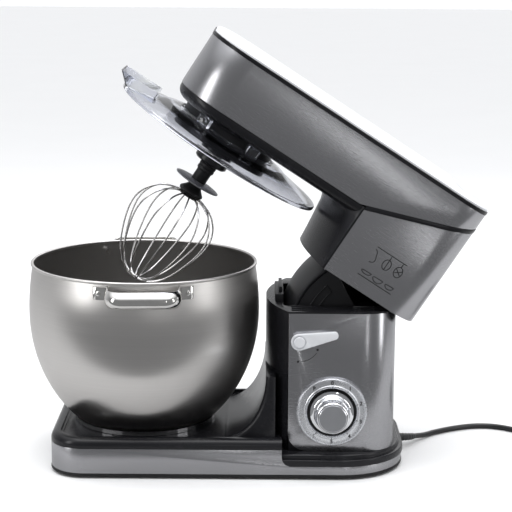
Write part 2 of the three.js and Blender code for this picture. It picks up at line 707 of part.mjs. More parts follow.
// ---- Neck: the part of the head that stands on the column ------------------------------------
function neckFrame() {
  const inside = frameInset + WALL;
  const front = columnFront - neck.forward;
  const leaned = front - neck.lean;
  const seam = housingRear + TOUCH;
  const bowed = loft([
    [front, neckBottom],
    [leaned, headUnder - 18],
    [leaned - 2.5, headUnder - 10],
    [leaned - 8, headUnder - 3],
    [seam, headUnder],
    [seam, headSteel - TOUCH],
  ].map(([x, z]) => at(planOutline(neckPlan(x)), z)));
  const face = common(bowed, block(housingRear - 20, neckSplit - TOUCH, -130, 130, 0, headTopZ));
  const liner = planPrism(neckPlan(front + 8), frameInset, neckBottom, headTopZ);
  const hollow = planPrism(neckPlan(front + 2), inside, neckBottom + WALL, headTopZ + 1);
  const inHead = planPrism(neckPlan(seam + WALL), inside, headUnder + WALL, headTopZ + 1);
  const rearOpen = planPrism(neckPlan(front), inside, neckBottom - 1, neckBottom + WALL + 1);
  const openRear = common(rearOpen, block(hingeX - 8, beyond, -130, 130, 0, headTopZ));
  const above = cut(block(housingRear - 30, beyond + 10, -140, 140, headUnder, headTopZ + 40),
    underSlope(-trimWidth - 1));
  const shell = cut(join(face, liner), hollow, inHead, openRear, above);
  return cut(join(shell, tongueSolid()), crossBar(hinge.pin + RUN, -80, 80, hingeX, hinge.up));
}

// The curved tongue that fills the column's mouth while the head tilts, with its two cheeks.
function tongueSolid() {
  const rib = tongue.radius - 3.4;
  const barrel = [];
  const steps = 4;
  for (let i = 0; i <= steps; i++) {
    const y = tongue.half * ((2 * i) / steps - 1);
    barrel.push([tongue.radius - tongue.bow * (y / tongue.half) ** 2, y]);
  }
  const inner = barrel.map(([r, y]) => [r - 3.4, y]).reverse();
  const shell = toSolid(lathe(closed([...barrel, ...inner]), 48).translate(hingeX, 0, hinge.up));
  const low = THREE.MathUtils.degToRad(tongue.low);
  const floorZ = neckBottom + 1;
  const cheekRadius = tongue.radius - tongue.bow;
  const ray = (angle, radius) => [hingeX - radius * Math.cos(angle), hinge.up + radius * Math.sin(angle)];
  const topAngle = Math.asin((floorZ - hinge.up) / rib);
  const wedge = sidePrism([[hingeX, hinge.up], ray(topAngle, 160), ray(0, 160), ray(low, 160)].reverse(),
    -tongue.half, tongue.half);
  const arcPoints = [];
  for (let i = 0; i <= 8; i++) {
    const start = Math.asin((floorZ - hinge.up) / cheekRadius);
    arcPoints.push(ray(start + ((low - start) * i) / 8, cheekRadius));
  }
  const outline = [[hingeX - 4, floorZ], ...arcPoints, ray(low, 40), [hingeX - 6, hinge.up - hinge.eye + 2]];
  let cheeks = null;
  for (const side of [-1, 1]) {
    const outer = side * tongue.half;
    const inside = side * (tongue.half - tongue.cheek);
    const [y0, y1] = [Math.min(outer, inside), Math.max(outer, inside)];
    const cheek = join(sidePrism(outline, y0, y1), crossBar(hinge.eye, y0, y1, hingeX, hinge.up, 20));
    cheeks = cheeks ? join(cheeks, cheek) : cheek;
  }
  return join(common(shell, wedge), cheeks);
}

function neckPanel() {
  const sheet = cut(
    planPrism(headPlan, 0, neckBottom, headTopZ),
    planPrism(headPlan, SKIN, neckBottom - 1, headTopZ + 1),
  );
  const rearPart = common(sheet, block(neckSplit, beyond, -130, 130, 0, headTopZ + 1));
  return common(rearPart, underSlope(-trimWidth - TOUCH));
}

// ---- Drive ----------------------------------------------------------------------------------
function ringGear() {
  const low = ringBottom;
  const body = bar(ringOuter, low, low + ring.width, 0, 0, 54);
  const teeth = prism(toothPoints(ring.teeth, ring.module, true), low - 1, low + ring.width + 1);
  // A tooth space faces -Y, where the planet stands.
  return cut(body, teeth).rotate([0, 0, -90 + 180 / ring.teeth]).translate([driveX, 0, 0]);
}

function planetCarrier() {
  const discTop = ringBottom - 2;
  const discLow = discTop - carrier.thick;
  const blockLow = bossBottom - carrier.blockDrop;
  const disc = bar(ringOuter - 3, discLow, discTop, 0, 0, 32);
  const hub = bar(carrier.hub, discLow, headUnder, 0, 0, 20);
  const shaft = bar(carrier.shaft, headUnder - 1, chassisTop + 3, 0, 0, 16);
  const planetBlock = bar(carrier.block, blockLow, discLow + 1, 0, planetY, 24);
  const bore = bar(output.radius + RUN, blockLow - 1, discTop + 1, 0, planetY, 16);
  return cut(join(disc, hub, shaft, planetBlock), bore).translate([driveX, 0, 0]);
}

function bigGear() {
  const body = gear(mainGear.teeth, mainGear.module, mainBottom, mainGear.width, carrier.shaft + TOUCH);
  return body.translate([driveX, 0, 0]);
}

function pinion() {
  const turn = 180 + 180 / mainGear.pinionTeeth; // a tooth space faces the main gear's tooth
  const body = gear(mainGear.pinionTeeth, mainGear.module, mainBottom, mainGear.width, 0, turn);
  const stub = bar(pulleyShaft, mainBottom + mainGear.width - 1, beltBottom + belt.width + 3, 0, 0, 16);
  const lower = bar(pulleyShaft, mainBottom - 4, mainBottom + 4, 0, 0, 16);
  return join(body, stub, lower).translate([pinionX, 0, 0]);
}

function largePulley() {
  const low = beltBottom - 2;
  const high = beltBottom + belt.width + 2;
  const groove = belt.driven;
  const wheel = turned(closed([
    [pulleyShaft + TOUCH, low],
    [groove + 2, low],
    [groove + 2, beltBottom - TOUCH],
    [groove, beltBottom - TOUCH],
    [groove, high - 2 + TOUCH],
    [groove + 2, high - 2 + TOUCH],
    [groove + 2, high],
    [pulleyShaft + TOUCH, high],
  ]), 20, pinionX);
  const dishProfile = [[14, low + 4], [groove - 5, low + 4], [groove - 5, high + 1], [14, high + 1]];
  const dish = turned(closed(dishProfile), 20, pinionX);
  return cut(wheel, dish);
}

// A flat belt around both pulleys, as one closed loop with straight runs.
function driveBelt() {
  const distance = motor.x - pinionX;
  const loop = (driven, driver) => {
    const lean = Math.asin((driven - driver) / distance);
    const points = [];
    const round = (cx, radius, from, to, steps) => {
      for (let i = 0; i <= steps; i++) {
        const a = from + ((to - from) * i) / steps;
        points.push(new THREE.Vector2(cx + radius * Math.cos(a), radius * Math.sin(a)));
      }
    };
    round(pinionX, driven, Math.PI / 2 - lean, 1.5 * Math.PI + lean, 20);
    round(motor.x, driver, -Math.PI / 2 + lean, Math.PI / 2 - lean, 8);
    return points;
  };
  const inner = TOUCH + 0.2;
  const high = beltBottom + belt.width;
  return cut(
    prism(loop(belt.driven + inner + belt.thick, belt.driver + inner + belt.thick), beltBottom, high),
    prism(loop(belt.driven + inner, belt.driver + inner), beltBottom - 1, high + 1),
  );
}

function chassisPlate() {
  const front = driveX - 72;
  const rear = motor.x + motor.can + 4;
  const half = chassis.half;
  let plate = common(
    block(front, rear, -half, half, chassisBottom, chassisTop),
    planPrism(headPlan, SKIN + 2 * TOUCH + WALL, chassisBottom - 1, chassisTop + 1),
  );
  for (const [x, radius] of [[driveX, carrier.shaft], [pinionX, pulleyShaft], [motor.x, motor.shaft + 4]]) {
    plate = cut(plate, bar(radius + RUN, chassisBottom - 1, chassisTop + 1, x, 0, 16));
  }
  return plate;
}

function motorCan() {
  const top = chassisBottom - TOUCH;
  const floorZ = canBottom;
  const body = bar(motor.can, floorZ, top, 0, 0, 24);
  const room = bar(motor.can - motor.wall, floorZ + motor.wall, top - motor.wall, 0, 0, 24);
  const shaftWay = bar(motor.shaft + RUN, floorZ - 1, top + 1, 0, 0, 16);
  let can = cut(body, room, shaftWay);
  const vents = 4;
  for (let i = 0; i < vents; i++) {
    const angle = (i / vents) * 2 * Math.PI;
    const radius = motor.can * 0.6;
    can = cut(can, bar(6, floorZ - 1, top + 1, radius * Math.cos(angle), radius * Math.sin(angle), 6));
  }
  return can.translate([motor.x, 0, 0]);
}

function motorRotor() {
  const low = canBottom + motor.wall + 9;
  const high = chassisBottom - motor.wall - 14;
  const core = bar(motor.rotor, low, high, 0, 0, 24);
  const commutator = bar(13, high - 1, high + 9, 0, 0, 20);
  const shaft = bar(motor.shaft, canBottom - 5, beltBottom + belt.width + 3, 0, 0, 12);
  return join(core, commutator, shaft).translate([motor.x, 0, 0]);
}

function motorPulley() {
  const low = beltBottom - 2;
  const high = beltBottom + belt.width + 2;
  const groove = belt.driver;
  return turned(closed([
    [motor.shaft + TOUCH, low],
    [groove + 2, low],
    [groove + 2, beltBottom - TOUCH],
    [groove, beltBottom - TOUCH],
    [groove, high - 2 + TOUCH],
    [groove + 2, high - 2 + TOUCH],
    [groove + 2, high],
    [motor.shaft + TOUCH, high],
  ]), 20, motor.x);
}

function coolingFan() {
  const low = canBottom - 6.4;
  const blades = 6;
  let fan = join(bar(motor.fan, low, low + 1.4, 0, 0, 24), bar(9, low, low + 5.4, 0, 0, 16));
  for (let i = 0; i < blades; i++) {
    const blade = block(8, motor.fan - 1, -0.8, 0.8, low + 0.6, low + 5).rotate([0, 0, (i * 360) / blades]);
    fan = join(fan, blade);
  }
  return cut(fan, bar(motor.shaft + TOUCH, low - 1, low + 8, 0, 0, 12)).translate([motor.x, 0, 0]);
}

// ---- Planet, output shaft and whisk, modelled on the planet's own axis -------------------------
const onPlanet = (solid) => solid.translate([driveX, planetY, 0]);

function outputShaft() {
  const low = bossBottom - output.below;
  const shaft = bar(output.radius, low, ringBottom + ring.width - 1, 0, 0, 16);
  const geometry = new THREE.CylinderGeometry(output.pin, output.pin, 2 * output.pinHalf, 10);
  const pin = toSolid(geometry.rotateZ(Math.PI / 2).translate(0, 0, bossBottom - output.pinBelow));
  return onPlanet(join(shaft, pin));
}

function planetGear() {
  const width = ring.width - 1;
  // One tooth points at -Y, into the ring gear's space.
  return onPlanet(gear(planetTeeth, ring.module, ringBottom, width, output.radius + TOUCH, -90));
}

function whiskHubSolid() {
  const top = bossBottom - whiskHub.top;
  const low = bossBottom - whiskHub.bottom;
  const neckLow = low + whiskHub.flareHeight;
  const dripZ = bossBottom - drip.below;
  const body = turned([
    [0, low],
    [whiskHub.flareRadius - 3, low],
    [whiskHub.flareRadius, low + 2.4],
    [whiskHub.flareRadius - 1, low + 5],
    [whiskHub.stem + 2, low + 8.5],
    [whiskHub.stem - 0.8, neckLow],
    [whiskHub.stem - 0.8, dripZ - 2],
    [whiskHub.stem + 1.4, dripZ - TOUCH],
    [whiskHub.stem - 0.6, dripZ - TOUCH],
    [whiskHub.stem - 0.6, dripZ + drip.thick + TOUCH],
    [whiskHub.stem, dripZ + drip.thick + 1.2],
    [whiskHub.stem, top - 8],
    [whiskHub.stem + 1.6, top - 7],
    [whiskHub.stem + 1.6, top - 1],
    [whiskHub.stem + 0.6, top],
    [0, top],
  ], 18);
  const socket = bar(output.radius + RUN, bossBottom - whiskHub.socket, top + 1, 0, 0, 24);
  const reach = whiskHub.stem + 3;
  const slotHalf = output.pin + RUN;
  const slot = block(-reach, reach, -slotHalf, slotHalf,
    bossBottom - output.pinBelow - output.pin - TOUCH, top + 1);
  return onPlanet(cut(body, socket, common(slot, bar(output.pinHalf + RUN, 0, headTopZ, 0, 0, 24))));
}

function dripShield() {
  const z = bossBottom - drip.below;
  return onPlanet(turned(closed([
    [whiskHub.stem - 0.6 + TOUCH, z],
    [drip.radius, z - 1.6],
    [drip.radius, z - 0.2],
    [whiskHub.stem - 0.6 + TOUCH, z + drip.thick],
  ]), 28));
}

function whiskWires() {
  const plateTop = bossBottom - whiskHub.bottom - TOUCH;
  const plateLow = plateTop - whisk.plateThick;
  const bottom = bowlBottom + bowl.wall + whisk.floorGap;
  const tall = plateLow - bottom;
  const inPlate = 1 + (whisk.plateThick / 2 - whisk.wire) / tall;
  let wires = bar(whisk.plate, plateLow, plateTop, 0, 0, 24);
  // Half of one loop: [share of the belly radius, share of the height], from the plate to the tip.
  const half = [[0.16, inPlate], [0.5, 0.985], [0.8, 0.9], [0.975, 0.76], [0.97, 0.62],
    [0.86, 0.42], [0.66, 0.2], [0.4, 0.05], [0.14, 0.0]];
  for (let i = 0; i < whisk.loops; i++) {
    const angle = (i / whisk.loops) * Math.PI;
    const point = (share, height, side) => new THREE.Vector3(
      side * share * whisk.belly * Math.cos(angle),
      side * share * whisk.belly * Math.sin(angle),
      bottom + whisk.wire + (height + (share < 0.5 && height < 0.1 ? i * 0.004 : 0)) * tall,
    );
    const down = half.map(([r, h]) => point(r, h, 1));
    const up = [...half].reverse().map(([r, h]) => point(r, h, -1));
    wires = join(wires, swept([...down, ...up], whisk.wire, 4, 16));
  }
  return onPlanet(wires);
}

// ---- Splash guard ---------------------------------------------------------------------------
function splashGuard() {
  const low = guardRim;
  const t = guard.wall;
  const collar = boss.radius + TOUCH + 0.4;
  const domeTop = low + guard.dome;
  const body = turned(closed([
    [collar, domeTop - t - 1],
    [collar + 18, domeTop - t - 0.5],
    [guard.rim - 26, low + 7.5],
    [guard.rim - 7, low + 2.4],
    [guard.rim - 4, low + 0.8],
    [guard.rim - 4, low],
    [guard.rim, low],
    [guard.rim, low + guard.lip - 1.4],
    [guard.rim - 3, low + guard.lip],
    [guard.rim - 26, low + 7.5 + t],
    [collar + 20, domeTop],
    [collar + t, domeTop + 1.6],
    [collar + t, domeTop + guard.collar + 2],
    [collar, domeTop + guard.collar + 2],
  ]), 32);
  const funnel = (grow, z0, z1) => {
    const level = (z, front, half) => [
      [-front - grow, half + grow], [-front - grow, -half - grow],
      [-chute.inner + grow, -half - grow], [-chute.inner + grow, half + grow],
    ].map(([x, y]) => new THREE.Vector3(x, y, z));
    const lean = (z) => (z - low) / chute.tall;
    const front = (z) => chute.front + (chute.tip - chute.front) * lean(z) - (chute.front - guard.rim + 8);
    const half = (z) => chute.half + (chute.flareHalf - chute.half) * lean(z);
    return loft([level(z0, front(z0), half(z0)), level(z1, front(z1), half(z1))]);
  };
  const outer = funnel(0, low + 1, low + chute.tall);
  const inner = funnel(-chute.wall, low - 3, low + chute.tall + 2);
  return cut(join(body, outer), inner).translate([driveX, 0, 0]);
}

// ---- Bowl, modelled on its own axis ----------------------------------------------------------
function bowlRadius(z) {
  const up = z - bowlBottom;
  const foot = (bowl.foot / bowl.belly) ** 2;
  const rim = (bowl.rim / bowl.belly) ** 2;
  const drop = up < bowl.bellyUp ? bowl.bellyUp - up : up - bowl.bellyUp;
  const span = up < bowl.bellyUp ? bowl.bellyUp : bowl.height - bowl.bellyUp;
  const share = 1 - (up < bowl.bellyUp ? foot : rim);
  return bowl.belly * Math.sqrt(1 - share * (drop / span) ** 2);
}

function bowlShell() {
  const outer = [];
  const inner = [];
  const steps = 7;
  for (let i = 0; i <= steps; i++) {
    const z = bowlBottom + (bowl.height - 2 * bowl.bead) * (i / steps) ** 0.85;
    outer.push([bowlRadius(z), z]);
    if (z > bowlBottom + bowl.wall) inner.push([bowlRadius(z) - bowl.wall, z]);
  }
  const top = bowlRim;
  const rim = outer.at(-1)[0];
  const bead = [
    [rim + bowl.bead, top - 1.6 * bowl.bead],
    [rim + bowl.bead, top - 0.6 * bowl.bead],
    [rim + 0.2 * bowl.bead, top],
    [rim - bowl.wall, top - 0.6 * bowl.bead],
  ];
  const floorZ = bowlBottom + bowl.wall;
  const floor = [[bowl.foot - 4, floorZ], [0, floorZ]];
  const profile = [[0, bowlBottom], ...outer, ...bead, ...inner.reverse(), ...floor];
  let shell = turned(profile, 36);
  const z = handleZ();
  for (const side of [-1, 1]) {
    for (const dx of [-1, 1]) {
      const hole = crossBar(bowlHandle.rivet / 2 + TOUCH, 90, 160, (dx * bowlHandle.pitch) / 2, z, 10);
      shell = cut(shell, side > 0 ? hole : hole.rotate([0, 0, 180]));
    }
  }
  return shell;
}
const handleZ = () => bowlRim - bowlHandle.below;

// One riveted strap handle on the +Y side: a folded strap between two flanges that hug the bowl.
function strapHandle() {
  const z = handleZ();
  const wall = bowlRadius(z - bowlHandle.tall / 2) + TOUCH + 0.3;
  const halfSpan = bowlHandle.span / 2 + 6;
  const out = wall + bowlHandle.reach;
  const t = bowlHandle.sheet;
  const root = Math.sqrt(wall ** 2 - halfSpan ** 2) - 1;
  const strip = (offset) => [
    [-halfSpan - 1 + offset, root],
    [-halfSpan + 3 + offset, out - 9],
    [-halfSpan + 12, out - offset - 1],
    [0, out - offset],
    [halfSpan - 12, out - offset - 1],
    [halfSpan - 3 - offset, out - 9],
    [halfSpan + 1 - offset, root],
  ];
  const outline = [...strip(0), ...strip(t).reverse()].reverse().map(([x, y]) => new THREE.Vector2(x, y));
  const low = z - bowlHandle.tall / 2;
  const high = z + bowlHandle.tall / 2;
  const strap = prism(outline, low, high);
  const reach = bowlHandle.pitch / 2 + 7;
  const hug = common(
    cut(bar(wall + 1.6, low + 2, high - 2, 0, 0, 72), bar(wall, low, high, 0, 0, 72)),
    cut(block(-reach, reach, 60, 200, low, high), block(-halfSpan + 6, halfSpan - 6, 60, 200, low, high)),
  );
  let handle = join(strap, hug);
  for (const dx of [-1, 1]) {
    const x = (dx * bowlHandle.pitch) / 2;
    const y = Math.sqrt(wall ** 2 - x ** 2);
    const shank = crossBar(bowlHandle.rivet / 2, y - 7, y + 3, x, z, 8);
    const headOut = crossBar(bowlHandle.rivet, y + 0.6, y + 4, x, z, 10);
    handle = join(handle, shank, headOut);
  }
  const body = bar(wall - TOUCH, low - 10, high + 10, 0, 0, 72);
  const shanks = [-1, 1].map((dx) =>
    crossBar(bowlHandle.rivet / 2, 100, out, (dx * bowlHandle.pitch) / 2, z, 8));
  return join(cut(handle, body), common(handle, join(...shanks)));
}

// The bayonet ring under the bowl, with lugs that turn under the deck's tabs.
function lockRing() {
  const low = lockBottom;
  const high = low + lock.thick;
  const inner = lock.inner;
  let body = turned(closed([[inner, low], [lock.outer, low], [lock.outer, high], [inner, high]]), 40);
  const width = inner * Math.tan(THREE.MathUtils.degToRad(lock.lugAngle / 2));
  for (let i = 0; i < lock.count; i++) {
    const lug = cut(
      block(inner - lock.lug - 2, inner + 3, -width, width, low, low + lock.lugThick),
      bar(inner - lock.lug, low - 1, low + 10, 0, 0, 40),
    );
    body = join(body, lug.rotate([0, 0, (i * 360) / lock.count]));
  }
  return body;
}

// ---- Mains cord ------------------------------------------------------------------------------
const onCounter = counter + cord.radius + 0.1;
const point = ([x, y, z]) => new THREE.Vector3(x, y, z);
// The strain relief bends a little on its way out of the base's rear end.
const glandPoints = [
  [baseRear - 6, cord.exitY, cord.exitUp],
  [baseRear + 2, cord.exitY, cord.exitUp],
  [baseRear + 10, cord.exitY + 2, cord.exitUp - 0.5],
  [baseRear + 18, cord.exitY + 8, cord.exitUp - 2],
  [baseRear + 23.5, cord.exitY + 15, cord.exitUp - 3.6],
].map(point);
// The cord on the counter, from the strain relief to the outer turn of its coil.
const cordPoints = [
  [baseRear + 23.8, cord.exitY + 15.4, cord.exitUp - 3.7],
  [baseRear + 30, cord.exitY + 23.5, cord.exitUp - 5.6],
  [baseRear + 37, cord.exitY + 32, cord.exitUp - 7.6],
  [baseRear + 45, cord.exitY + 41, onCounter + 0.5],
  [baseRear + 55, cord.exitY + 51, onCounter],
  [267, 82, onCounter],
  [286, 92, onCounter],
  [304, 98.4, onCounter],
  [321, 100, onCounter],
  [335, 97.6, onCounter],
  [348, 91.6, onCounter],
  [362, 82, onCounter],
  [377, 70.9, onCounter],
].map(point);

// A round tube that tapers along its points.
function taperedTube(points, radii, sides) {
  const positions = [];
  const index = [];
  const up = new THREE.Vector3(0, 0, 1);
  points.forEach((p, i) => {
    const ahead = points[Math.min(i + 1, points.length - 1)];
    const behind = points[Math.max(i - 1, 0)];
    const tangent = ahead.clone().sub(behind).normalize();
    const side = tangent.clone().cross(up).normalize();
    const over = side.clone().cross(tangent);
    for (let k = 0; k < sides; k++) {
      const angle = (k / sides) * 2 * Math.PI;
      const ray = side.clone().multiplyScalar(Math.cos(angle)).addScaledVector(over, Math.sin(angle));
      positions.push(...p.clone().addScaledVector(ray, radii[i]).toArray());
    }
  });
  for (let i = 0; i + 1 < points.length; i++) {
    for (let k = 0; k < sides; k++) {
      const a = i * sides + k;
      const b = i * sides + ((k + 1) % sides);
      index.push(a, b + sides, b, a, a + sides, b + sides);
    }
  }
  const last = (points.length - 1) * sides;
  for (let k = 1; k + 1 < sides; k++) {
    index.push(0, k, k + 1, last, last + k + 1, last + k);
  }
  const geometry = new THREE.BufferGeometry();
  geometry.setAttribute("position", new THREE.Float32BufferAttribute(positions, 3));
  geometry.setIndex(index);
  return toSolid(geometry);
}

function cordGland() {
  const [a, b] = [gland.root, gland.tip];
  const radii = glandPoints.map((_, i) => a + ((b - a) * Math.max(i - 1, 0)) / (glandPoints.length - 2));
  return taperedTube(glandPoints, radii, 14);
}

// The outer turn's tangent point, where the loose cord joins the coil.
const coilJoin = (radius, degrees) => {
  const angle = THREE.MathUtils.degToRad(degrees);
  return [cord.coilX + radius * Math.cos(angle), cord.coilY + radius * Math.sin(angle)];
};
const joinAngle = 233;

function cordTube() {
  const [x, y] = coilJoin(cord.coilRadius + cord.coilHalf - cord.radius, joinAngle);
  return swept([...cordPoints, point([x, y, onCounter])], cord.radius, 8, 20);
}

// One solid of the coil's outer shape, with grooves for the cord that joins it and the lead to the plug.
function cordCoil() {
  const [r, h] = [cord.coilRadius, cord.coilHalf];
  const low = counter + tie.thick + TOUCH;
  const body = turned(closed([
    [r - h, low],
    [r + h, low],
    [r + h, low + cord.coilTall - 2],
    [r + h - 2, low + cord.coilTall],
    [r - h + 2, low + cord.coilTall],
    [r - h, low + cord.coilTall - 2],
  ]), 28, cord.coilX, cord.coilY);
  const [x, y] = coilJoin(r + h - cord.radius, joinAngle);
  const before = cordPoints.at(-1);
  const end = point([x, y, onCounter]);
  const beyondJoin = end.clone().addScaledVector(end.clone().sub(before), 0.08);
  const groove = swept([...cordPoints.slice(-4), end, beyondJoin], cord.radius + TOUCH, 8, 12);
  const tailGroove = tailTube(tailY - TOUCH, plugY, cord.radius + TOUCH);
  return cut(body, groove, tailGroove);
}

// The tie stands at the coil's far side and goes all the way round its section.
function cordTie() {
  const [r, h] = [cord.coilRadius, cord.coilHalf + TOUCH + 0.3];
  const low = counter + 0.2;
  const high = counter + tie.thick + cord.coilTall + 3 * TOUCH + tie.thick;
  const t = tie.thick;
  const [x, y] = [cord.coilX, cord.coilY + r];
  const outer = block(x - tie.half, x + tie.half, y - h - t, y + h + t, low, high);
  const inner = block(x - tie.half - 1, x + tie.half + 1, y - h, y + h, low + t, high - t);
  return cut(outer, inner);
}

// The last turn leaves the coil towards +Y and ends in the plug.
const tailX = cord.coilX + cord.coilRadius + cord.coilHalf - cord.radius;
const tailY = cord.coilY + 6;
const plugY = cord.coilY + plug.gap;

function tailTube(from, to, radius) {
  const [near, far] = [point([tailX, from, plug.entryUp]), point([tailX, to, plug.entryUp])];
  return swept([near, near.clone().lerp(far, 0.5), far], radius, 8, 3);
}
const cordTail = () => tailTube(tailY, plugY - TOUCH, cord.radius);

// A three-pin plug lying on its back, pins up.
function mainsPlug() {
  const half = plug.half;
  const outline = (grow, back) => [
    [-half - grow + back, plugY + 8 - grow], [-9 - grow, plugY], [9 + grow, plugY],
    [half + grow - back, plugY + 8 - grow], [half + grow, plugY + plug.length - 8],
    [half + grow - 7, plugY + plug.length + grow], [-half - grow + 7, plugY + plug.length + grow],
    [-half - grow, plugY + plug.length - 8],
  ].map(([x, y]) => new THREE.Vector2(tailX + x, y));
  const low = counter + 0.1;
  let body = loft([
    at(outline(-3, 0), low),
    at(outline(-0.5, 0), low + 4),
    at(outline(0, 0), low + plug.thick - 4),
    at(outline(-1.5, 0), low + plug.thick),
  ]);
  const top = low + plug.thick;
  const pins = [[-11, 14, 3.2, 2], [11, 14, 3.2, 2], [0, 35, 2, 4]];
  for (const [x, y, halfX, halfY] of pins) {
    body = join(body, block(tailX + x - halfX, tailX + x + halfX, plugY + y - halfY, plugY + y + halfY,
      top - 1, top + plug.pinLength));
  }
  return body;
}

// ---- Assembly --------------------------------------------------------------------------------
add(part, "base_band", baseBand(), steel());
add(part, "base_deck", baseDeck(), blackPlastic());
add(part, "bottom_cover", bottomCover(), blackPlastic());
footPlaces().forEach(([x, y], i) => add(part, `rubber_foot_${i + 1}`, rubberFoot(x, y), rubber()));
add(part, "column_plinth", plinthRing(), blackPlastic());
add(part, "column_wrap", columnWrap(), steel());
add(part, "column_frame", columnFrame(), blackPlastic());
add(part, "hinge_pin", crossBar(hinge.pin, -hinge.pinHalf, hinge.pinHalf, hingeX, hinge.up), ironGrey());
add(part, "dial_bezel", dialBezel(), chrome());
add(part, "dial_well", dialWell(), blackPlastic());
add(part, "speed_knob", knobBody(), chrome());
add(part, "knob_face", knobFace(), steel());
add(part, "speed_switch", switchBody(), greyPlastic());
add(part, "control_board", controlBoard(), boardGreen());
add(part, "lock_lever", leverArm(), silverPlastic());
add(part, "lever_cap", leverCap(), silverPlastic());
add(part, "cord_gland", cordGland(), rubber());
add(part, "power_cord", cordTube(), rubber());
add(part, "cord_coil", cordCoil(), rubber());
add(part, "cord_tail", cordTail(), rubber());
add(part, "cord_tie", cordTie(), greyPlastic());
add(part, "mains_plug", mainsPlug(), rubber());

add(headGroup, "head_housing", headHousing(), blackPlastic());
add(headGroup, "head_wrap", headWrap(), steel());
add(headGroup, "head_trim", headTrim(), blackPlastic());
add(headGroup, "top_cover", topCover(), silverPlastic());
add(headGroup, "slope_trim", midTrim(), blackPlastic());
add(headGroup, "neck_frame", neckFrame(), blackPlastic());
add(headGroup, "neck_panel", neckPanel(), steel());
add(headGroup, "chassis_plate", chassisPlate(), ironGrey());
add(headGroup, "ring_gear", ringGear(), ironGrey());
add(headGroup, "drive_belt", driveBelt(), rubber());
add(headGroup, "motor_can", motorCan(), ironGrey());
add(headGroup, "motor_rotor", motorRotor(), ironGrey());
add(headGroup, "motor_pulley", motorPulley(), ironGrey());
add(headGroup, "cooling_fan", coolingFan(), blackPlastic());
add(headGroup, "large_pulley", largePulley(), ironGrey());
add(headGroup, "drive_pinion", pinion(), ironGrey());
add(headGroup, "planet_carrier", planetCarrier(), blackPlastic());
add(headGroup, "main_gear", bigGear(), gearPlastic());
add(headGroup, "output_shaft", outputShaft(), chrome());
add(headGroup, "planet_gear", planetGear(), ironGrey());
add(headGroup, "whisk_hub", whiskHubSolid(), blackPlastic());
add(headGroup, "drip_shield", dripShield(), greyPlastic());
add(headGroup, "whisk_wires", whiskWires(), bowlSteel());
add(headGroup, "splash_guard", splashGuard(), clear());

add(bowlGroup, "bowl_lock_ring", lockRing(), steel());
add(bowlGroup, "bowl_shell", bowlShell(), bowlSteel());
add(bowlGroup, "handle_front", strapHandle().rotate([0, 0, 180]), chrome());
add(bowlGroup, "handle_rear", strapHandle(), chrome());

export default part;
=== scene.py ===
"""A tilt-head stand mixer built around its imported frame: steel skins, mouldings, bowl, whisk and cord.

Laid out as an add-on. Each operator makes one piece or group of like pieces, and the panel lists them.
Lengths are in metres. Pieces of the head are made with the head level and are then raised about its hinge.
"""

import json
import math
from collections import namedtuple

import bpy
from mathutils import Matrix, Vector


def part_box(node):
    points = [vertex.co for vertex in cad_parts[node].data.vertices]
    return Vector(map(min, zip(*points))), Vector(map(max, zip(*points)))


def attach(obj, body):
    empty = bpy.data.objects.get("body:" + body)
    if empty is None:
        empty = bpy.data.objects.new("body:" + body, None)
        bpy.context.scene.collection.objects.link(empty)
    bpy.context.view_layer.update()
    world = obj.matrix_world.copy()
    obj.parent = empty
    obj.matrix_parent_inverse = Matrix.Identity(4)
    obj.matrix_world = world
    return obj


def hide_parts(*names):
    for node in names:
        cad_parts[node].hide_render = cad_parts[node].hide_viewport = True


bl_info = {
    "name": "Stand Mixer",
    "version": (1, 0, 0),
    "blender": (4, 5, 0),
    "location": "3D View > Sidebar > Mixer",
    "description": "Builds the looks of a tilt-head stand mixer around its frame",
    "category": "Add Mesh",
}

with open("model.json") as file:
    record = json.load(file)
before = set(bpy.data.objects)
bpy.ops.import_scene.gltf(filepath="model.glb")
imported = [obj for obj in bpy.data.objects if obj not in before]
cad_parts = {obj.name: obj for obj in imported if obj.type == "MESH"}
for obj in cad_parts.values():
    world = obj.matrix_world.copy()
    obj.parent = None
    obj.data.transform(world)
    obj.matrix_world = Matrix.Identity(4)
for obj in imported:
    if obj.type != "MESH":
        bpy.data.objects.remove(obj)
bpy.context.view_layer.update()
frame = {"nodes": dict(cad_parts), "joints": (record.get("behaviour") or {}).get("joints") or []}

# ---- Places taken from the frame ---------------------------------------------------------------
joints = {joint["name"]: joint for joint in frame["joints"]}
HINGE = Vector(joints["head_tilt"]["pos_m"])
DRIVE = Vector(joints["carrier_spin"]["axis"])
RAISED = math.atan2(DRIVE.x, DRIVE.z)
TILT = Matrix.Translation(HINGE) @ Matrix.Rotation(RAISED, 4, "Y") @ Matrix.Translation(-HINGE)
LEVEL = TILT.inverted()
BOWL_X = joints["bowl_turn"]["pos_m"][0]
PLANET_Y = joints["planet_spin"]["pos_m"][1]
DIAL = Vector(joints["speed_turn"]["pos_m"])
LEVER = Vector(joints["lever_turn"]["pos_m"])
MM = 0.001

Box = namedtuple("Box", "x0 x1 y0 y1 z0 z1")
Plan = namedtuple("Plan", "front rear half front_radius rear_radius bow")


def as_box(points):
    xs, ys, zs = zip(*points)
    return Box(min(xs), max(xs), min(ys), max(ys), min(zs), max(zs))


def frame_box(node):
    return as_box(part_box(node))


def level_box(node):
    """The box of one of the head's nodes, with the head level."""
    return as_box([LEVEL @ v.co for v in frame["nodes"][node].data.vertices])


